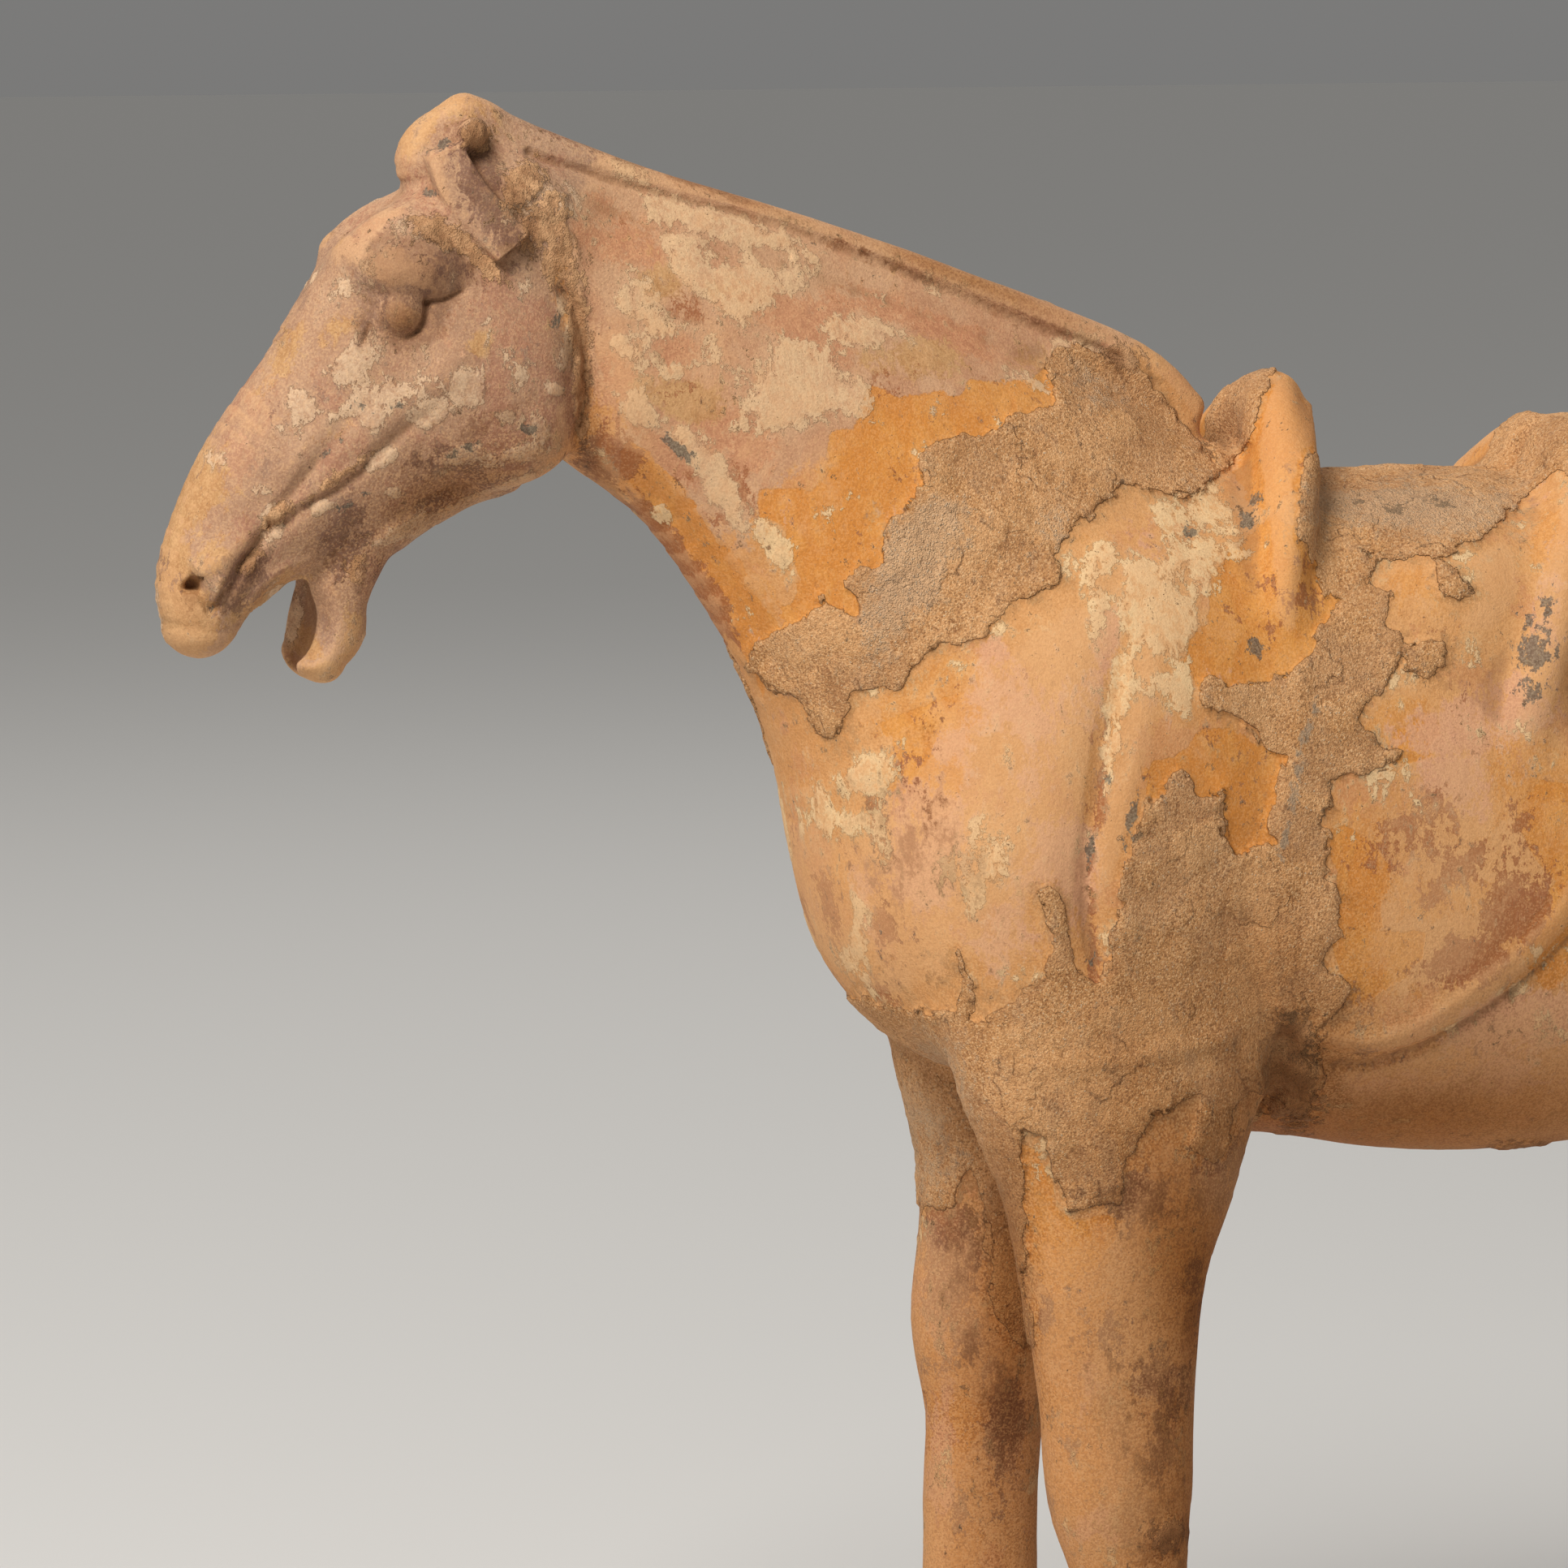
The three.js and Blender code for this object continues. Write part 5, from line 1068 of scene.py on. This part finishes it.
class Nodes:
    """Short ways to add shader nodes to a material."""

    def __init__(self, name):
        self.material = bpy.data.materials.new(name)
        self.material.use_nodes = True
        self.tree = self.material.node_tree
        self.tree.nodes.clear()
        out = self.add("ShaderNodeOutputMaterial")
        self.shader = self.add("ShaderNodeBsdfPrincipled")
        self.tree.links.new(self.shader.outputs[0], out.inputs[0])
        self.coords = self.add("ShaderNodeTexCoord").outputs["Object"]

    def add(self, kind):
        return self.tree.nodes.new(kind)

    def put(self, socket, value):
        if hasattr(value, "is_linked"):
            self.tree.links.new(value, socket)
        else:
            socket.default_value = value

    def math(self, operation, a, b):
        node = self.add("ShaderNodeMath")
        node.operation = operation
        self.put(node.inputs[0], a)
        self.put(node.inputs[1], b)
        return node.outputs[0]

    def times(self, a, b):
        return self.math("MULTIPLY", a, b)

    def plus(self, *terms):
        """The sum of values, each given as a value or as (value, factor)."""
        total = None
        for term in terms:
            value = self.times(*term) if isinstance(term, tuple) else term
            total = value if total is None else self.math("ADD", total, value)
        return total

    def step(self, value, low, high, top=1.0):
        """0 below low, top above high, soft between; low may be the higher one. The value may be terms."""
        node = self.add("ShaderNodeMapRange")
        node.interpolation_type = "SMOOTHSTEP"
        self.put(node.inputs["Value"], self.plus(*value) if isinstance(value, tuple) else value)
        node.inputs["From Min"].default_value = min(low, high)
        node.inputs["From Max"].default_value = max(low, high)
        node.inputs["To Min"].default_value = 0.0 if low < high else top
        node.inputs["To Max"].default_value = top if low < high else 0.0
        return node.outputs[0]

    def moved(self, vector, by, operation="ADD"):
        node = self.add("ShaderNodeVectorMath")
        node.operation = operation
        self.put(node.inputs[0], vector)
        self.put(node.inputs[1], by)
        return node.outputs[0]

    def noise(self, size, detail, rough=0.6, warp=0.0, shift=0.0, stretch=1.0):
        """Cloudy values around 0 with features of about size millimetres."""
        node = self.add("ShaderNodeTexNoise")
        place = self.moved(self.coords, (shift, -shift, shift)) if shift else self.coords
        self.put(node.inputs["Vector"], self.moved(place, (1, 1, stretch), "MULTIPLY"))
        node.inputs["Scale"].default_value = 1 / (size * MM)
        node.inputs["Detail"].default_value = detail
        node.inputs["Roughness"].default_value = rough
        node.inputs["Distortion"].default_value = warp
        return self.math("SUBTRACT", node.outputs[0], 0.5)

    def cells(self, size):
        """The distance to the nearest of scattered points, and a value for each of them from 0 to 1."""
        node = self.add("ShaderNodeTexVoronoi")
        self.put(node.inputs["Vector"], self.coords)
        node.inputs["Scale"].default_value = 1 / (size * MM)
        return node.outputs["Distance"], self.times(node.outputs["Color"], 1.0)

    def layer(self, name):
        node = self.add("ShaderNodeAttribute")
        node.attribute_type = "GEOMETRY"
        node.attribute_name = name
        return node.outputs["Fac"]

    def mix(self, amount, a, b, blend="MIX"):
        """A colour between a and b, each a socket, an 8 bit sRGB colour or a linear one with alpha."""
        node = self.add("ShaderNodeMix")
        node.data_type = "RGBA"
        node.blend_type = blend
        self.put(node.inputs[0], amount)
        for number, colour in ((6, a), (7, b)):
            eight_bit = isinstance(colour, tuple) and len(colour) == 3
            self.put(node.inputs[number], srgb(*colour) if eight_bit else colour)
        return node.outputs[2]

    def blend(self, value, low, high, a, b):
        return self.mix(self.step(value, low, high), a, b)

    def coats(self, colour, *rows):
        """A colour under thin coats, each given as a value with its low and high, a strength and a colour."""
        for value, low, high, top, paint in rows:
            colour = self.mix(self.step(value, low, high, top), colour, paint)
        return colour

    def finished(self, colour, roughness, sheen, height):
        """The material, given its surface's colour, roughness and sheen and its height in millimetres."""
        node = self.add("ShaderNodeBump")
        self.put(node.inputs["Height"], height)
        node.inputs["Distance"].default_value = MM
        node.inputs["Strength"].default_value = 1.0
        self.put(self.shader.inputs["Base Color"], colour)
        self.put(self.shader.inputs["Roughness"], roughness)
        self.shader.inputs["Specular IOR Level"].default_value = sheen
        self.put(self.shader.inputs["Normal"], node.outputs[0])
        return self.material


def srgb(r, g, b):
    """A linear colour from 8 bit sRGB values."""
    def one(value):
        s = value / 255
        return s / 12.92 if s <= 0.04045 else ((s + 0.055) / 1.055) ** 2.4
    return (one(r), one(g), one(b), 1.0)


# darkening tints: greying that is partly painted shade, and painted shade
GREY_AND_SHADE_TINT = (0.7, 0.65, 0.61, 1)
SHADED = (0.5, 0.34, 0.16, 1)


def pottery_material():
    m = Nodes("painted_pottery")
    streak = m.noise(7, 4, 0.68, 0.6, 0.0, 0.5)
    torn = m.noise(2.4, 4, 0.78, 0.2, 0.31, 0.7)
    grain = m.noise(0.6, 2, 0.6, 0.0, 0.17)
    sand, kind = m.cells(0.5)
    # deep is the painted shade layer
    tone, wear, deep = m.layer("tone"), m.layer("wear"), m.layer("deep")

    def patch(name, low, high, top=1.0, by=1.6):
        return m.step((m.layer(name), (torn, by), (streak, 0.9)), low, high, top)

    # the ochre slip, redder and paler in places, and where it has kept its bright orange
    colour = m.blend((tone, (streak, 1.5)), -0.4, 0.4, (204, 144, 86), (214, 158, 102))
    colour = m.coats(colour, ((wear, (torn, 1.8)), 0.15, 0.3, 0.6, (200, 138, 92)))
    orange = m.blend(streak, -0.12, 0.12, (204, 136, 66), (214, 150, 82))
    colour = m.mix(patch("orange", 0.38, 0.5, 0.75), colour, orange)
    # the neck's and the head's thinner, pinker wash over the clay
    neck = m.step((m.layer("neck"), (torn, 1.5)), 0.05, 0.3, 0.9)
    wash = m.blend((wear, (streak, 2)), -0.3, 0.4, (198, 156, 122), (186, 138, 106))
    salmon = patch("salmon", 0.25, 0.5, 0.75)
    pinker = m.blend(torn, -0.1, 0.1, (180, 120, 86), (200, 140, 100))
    colour = m.mix(salmon, m.mix(neck, colour, wash), pinker)
    bright = m.step((m.layer("bright"), (torn, 3)), -0.15, 0.35)
    orange = m.blend((streak, (tone, 0.2)), -0.12, 0.14, (206, 132, 56), (216, 148, 72))
    colour = m.mix(m.times(bright, 0.9), colour, orange)
    head = m.step((m.layer("head"), (torn, 0.8)), -0.1, 0.3, 0.94)
    clay = m.blend((tone, (streak, 2.2)), -0.4, 0.4, (171, 133, 106), (183, 146, 117))
    clay = m.coats(
        clay,
        ((wear, (torn, 2)), 0.05, 0.4, 0.7, (162, 113, 91)),
        ((wear, (streak, 1.5)), -0.2, -0.5, 0.6, (140, 112, 97)))
    colour = m.mix(head, colour, m.mix(m.times(salmon, 0.7), clay, (178, 126, 96)))
    ochre = m.blend(streak, -0.1, 0.1, (180, 132, 82), (192, 148, 98))
    colour = m.mix(patch("ochre", 0.3, 0.55, 0.85), colour, ochre)
    # pink bloom, mauve underpaint, brown dust, cream film and its edge
    colour = m.mix(patch("pink", 0.34, 0.56, 0.75), colour, (214, 160, 126))
    mauve = patch("mauve", 0.46, 0.54, 1.0, 2.6)
    violet = m.blend(streak, -0.1, 0.1, (150, 104, 76), (144, 108, 84))
    # the mauve turns browner where the painted shade lies, a shaded copy of it
    violet = m.mix(head, m.blend(deep, 0.2, 0.4, (152, 89, 53), violet), (128, 96, 82))
    colour = m.mix(m.times(mauve, 0.8), colour, violet)
    dust = m.times(patch("dust", 0.35, 0.65, 0.8, 2.0), m.plus(1.0, (bright, -0.7)))
    colour = m.mix(dust, colour, m.blend(torn, -0.1, 0.12, (174, 124, 76), (190, 142, 92)))
    film = m.plus(m.layer("cream"), (torn, 1.6), (streak, 0.9))
    cream = m.step(film, 0.42, 0.48)
    veil = m.step((m.layer("cream"), (torn, 2.5), (streak, 1.5), (bright, -0.3)), 0.15, 0.55, 0.35)
    whole = m.times(cream, m.step(((torn, 1.6), streak), -0.28, 0.1, 0.92))
    pale = m.mix(head, m.mix(neck, (230, 196, 148), (214, 178, 138)), (206, 174, 142))
    colour = m.mix(m.math("MAXIMUM", veil, whole), colour, pale)
    film_edge = m.times(m.step(film, 0.34, 0.42), m.step(film, 0.5, 0.43))
    colour = m.mix(m.times(film_edge, m.plus(0.08, (head, 0.3))), colour, (112, 80, 58))
    # fine grain, pale specks and dark pits
    # the specks show more strongly in the painted shade
    speck = m.plus(0.2, (head, 0.03), (m.math("MAXIMUM", deep, 0.0), 0.7))
    for high, paint in ((0.8, (226, 178, 128)), (0.2, (144, 94, 58))):
        colour = m.mix(m.times(m.step((kind, (grain, 1.2)), 0.5, high), speck), colour, paint)
    colour = m.coats(
        colour,
        (torn, 0.1, 0.22, 0.35, (222, 176, 130)),
        (torn, -0.1, -0.22, 0.4, (146, 98, 62)))
    pit = m.times(m.step(sand, 0.34, 0.2), m.step((kind, torn), 0.95, 0.98))
    colour = m.mix(m.times(pit, 0.5), colour, (104, 68, 44))
    # dirt in the hollows, wear on the ridges, dark stains
    hollow = m.plus(m.layer("hollow"), (torn, 1.2))
    colour = m.coats(
        colour,
        (hollow, 0.35, 1.2, 0.5, (140, 98, 64)),
        ((hollow, (head, 0.6)), -0.3, -0.8, 0.35, (220, 170, 122)))
    stain = m.step((m.layer("stain"), (torn, 2.2)), 0.46, 0.56)
    colour = m.mix(m.times(stain, 0.8), colour, m.blend(grain, -0.1, 0.15, (84, 76, 66), (130, 120, 102)))
    # the earth crust: its tones, plates and cracks, and its sand grains
    depth = m.plus(m.layer("earth"), (torn, 2.0))
    earth = m.step(depth, -0.05, 0.05)
    mud = m.step((m.layer("mud"), (torn, 2.0)), 0.36, 0.5)
    coarse = m.step((m.layer("coarse"), (torn, 1.5)), 0.3, 0.7)
    plate = m.plus(m.layer("plate"), (torn, 0.8))
    soil = m.blend((wear, (streak, 2.5)), -0.45, 0.45, (188, 136, 86), (206, 154, 104))
    soil = m.coats(
        soil,
        (torn, 0.04, 0.2, 0.5, (220, 172, 122)),
        (torn, -0.06, -0.2, 0.6, (150, 102, 64)),
        ((streak, (torn, 0.5)), 0.05, 0.17, 0.6, (172, 132, 96)),
        ((streak, (torn, 0.6)), -0.08, -0.18, 0.5, (150, 102, 62)),
        ((kind, (grain, 2.2)), 0.6, 0.95, 0.5, (236, 196, 148)),
        ((kind, (grain, 2.2)), 0.4, 0.05, 0.62, (116, 76, 46)),
        (plate, 0.05, 0.4, 0.22, (216, 168, 118)),
        (plate, -0.05, -0.4, 0.26, (160, 118, 84)))
    chip = m.plus(m.layer("chip"), (torn, 1.5))
    crack = m.times(m.step(chip, -0.5, -0.1), m.step(chip, 0.4, 0.0))
    broken = m.step((streak, (tone, 0.15)), -0.06, 0.08, 0.42)
    grains = m.times(m.step(sand, 0.42, 0.3), m.step((kind, (coarse, 0.2), torn), 0.9, 0.94))
    for amount, paint in (
            (m.times(crack, broken), (112, 72, 44)), (m.times(grains, 0.8), (232, 210, 182)),
            (m.times(coarse, 0.45), (212, 178, 142)),
            (m.step((m.layer("blue"), (torn, 1.8)), 0.35, 0.65, 0.6), (146, 134, 116)),
            (m.times(stain, 0.6), (96, 82, 64))):
        soil = m.mix(amount, soil, paint)
    colour = m.mix(earth, colour, soil)
    # mud with straw, greying that is partly painted shade, and the painted shade of the lower parts
    straw = m.blend(torn, -0.14, 0.14, (164, 118, 80), (204, 158, 114))
    straw = m.coats(straw, (grain, -0.05, -0.2, 0.5, (120, 86, 54)))
    colour = m.mix(m.times(mud, 0.9), colour, straw)
    # greying, partly real patina and partly painted shade
    grey_and_shade = m.step((m.layer("grey_and_shade"), (torn, 1.4), (streak, 0.8)), 0.2, 0.55)
    colour = m.mix(grey_and_shade, colour, GREY_AND_SHADE_TINT, "MULTIPLY")
    # painted shade: the colour is darkened by the deep layer
    colour = m.mix(m.step((deep, (streak, 0.3)), 0.0, 1.0), colour, SHADED, "MULTIPLY")
    # a thin shadow under the crust's edge
    rim = m.times(m.step(depth, -0.4, -0.08), m.step(depth, 0.08, 0.0))
    colour = m.mix(m.times(rim, 0.38), colour, (96, 60, 36))
    # height: brushed slip, flaking layers, the crust's edge and its grains
    thick = m.step(depth, -0.2, 0.2)
    rough = m.times(m.math("MAXIMUM", earth, mud), m.plus(0.6, (coarse, 0.8)))
    grit = m.times(m.step(sand, 0.75, 0.1), m.plus(0.25, kind))
    height = m.plus(
        (torn, 0.2), (grain, 0.12), (streak, 0.3), (cream, 0.16), (mauve, -0.04), (bright, -0.06),
        (thick, 0.45), (mud, 0.25), (m.times(grit, rough), 0.2), (m.times(torn, rough), 0.8), (grit, 0.02),
        (m.times(torn, head), 0.15), (grains, 0.1), (pit, -0.15),
        (m.times(m.step(chip, -0.3, 0.3), earth), 0.25))
    return m.finished(colour, m.plus(0.78, (earth, 0.14), (grain, 0.1)), 0.25, height)


def clay_material():
    m = Nodes("bare_pottery")
    streak = m.noise(16, 7, 0.62, 0.6)
    torn = m.noise(3, 4, 0.65, 0.0, 0.2)
    grain = m.noise(0.8, 2, 0.6, 0.0, 0.1)
    colour = m.blend(streak, -0.1, 0.1, (164, 118, 80), (186, 140, 98))
    slip = m.step((m.noise(34, 6, 0.65, 0.5, 0.4), (torn, 0.15)), 0.04, 0.07)
    colour = m.mix(m.times(slip, 0.75), colour, (204, 146, 86))
    soil = m.step((m.noise(26, 6, 0.65, 0.5, 0.7), (torn, 0.15)), 0.0, 0.03)
    colour = m.mix(m.times(soil, 0.85), colour, m.blend(torn, -0.1, 0.1, (148, 108, 72), (180, 136, 94)))
    colour = m.coats(
        colour,
        (grain, 0.08, 0.25, 0.4, (206, 168, 126)),
        (grain, -0.08, -0.25, 0.5, (112, 80, 54)))
    height = m.plus((streak, 0.6), (torn, 0.7), (soil, 0.3), (m.times(grain, soil), 0.6), (grain, 0.3))
    return m.finished(colour, m.plus(0.86, (grain, 0.1)), 0.2, height)


kept.materials.clear()
kept.materials.append(pottery_material())
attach(horse, "root")
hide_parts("horse")

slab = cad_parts["plinth"]
slab.data.materials.clear()
slab.data.materials.append(clay_material())

# The stage: a pale floor, soft lights and the photograph's camera
FLOOR_SIZE = 30.0
SKY_BASE, SKY_RISE = 0.2, 0.13  # the sky's strength at the level, and what it gains straight up
bpy.ops.mesh.primitive_plane_add(size=FLOOR_SIZE, location=(0, 0, 0))
floor = bpy.context.object
floor.name = "floor"
paper = Nodes("floor")
paper.shader.inputs["Base Color"].default_value = (0.7, 0.69, 0.67, 1)
paper.shader.inputs["Roughness"].default_value = 0.9
floor.data.materials.append(paper.material)

# a studio's even light, a little brighter above, so that it meets the far floor without an edge
world = bpy.data.worlds.new("studio")
world.use_nodes = True
sky = world.node_tree
place = sky.nodes.new("ShaderNodeTexCoord")
parts = sky.nodes.new("ShaderNodeSeparateXYZ")
rise = sky.nodes.new("ShaderNodeMath")
rise.operation = "MULTIPLY_ADD"
sky.links.new(place.outputs["Generated"], parts.inputs[0])
sky.links.new(parts.outputs["Z"], rise.inputs[0])
rise.inputs[1].default_value = SKY_RISE
rise.inputs[2].default_value = SKY_BASE
sky.links.new(rise.outputs[0], sky.nodes["Background"].inputs["Strength"])
sky.nodes["Background"].inputs["Color"].default_value = (1.0, 0.99, 0.97, 1)
bpy.context.scene.world = world


LIT_POINT = (-0.1, 0, 0.3)


def area_light(name, azimuth, elevation, distance, size, watts, colour):
    """A soft square light at a direction around the horse, aimed at it."""
    a, e = math.radians(azimuth), math.radians(elevation)
    way = Vector((math.sin(a) * math.cos(e), -math.cos(a) * math.cos(e), math.sin(e)))
    light = bpy.data.lights.new(name, "AREA")
    light.size = size
    light.energy = watts
    light.color = colour
    lamp = bpy.data.objects.new(name, light)
    lamp.location = Vector(LIT_POINT) + way * distance
    lamp.rotation_euler = way.to_track_quat("Z", "Y").to_euler()
    bpy.context.scene.collection.objects.link(lamp)


area_light("key", -52, 46, 2.4, 1.0, 58, (1.0, 0.97, 0.93))
area_light("fill", -105, 20, 2.2, 1.0, 3, (1.0, 0.98, 0.96))
area_light("back", 160, 40, 2.4, 1.4, 9, (1.0, 0.98, 0.96))

camera_data = bpy.data.cameras.new("camera")
camera_data.sensor_width = SENSOR
camera_data.lens = SENSOR * DISTANCE / (PIXEL * PHOTO)
camera = bpy.data.objects.new("camera", camera_data)
camera.location = Vector((AIM + BACK * DISTANCE) * MM)
camera.rotation_euler = Vector(BACK).to_track_quat("Z", "Y").to_euler()
bpy.context.scene.collection.objects.link(camera)
bpy.context.scene.camera = camera
bpy.context.scene.view_settings.view_transform = "Standard"
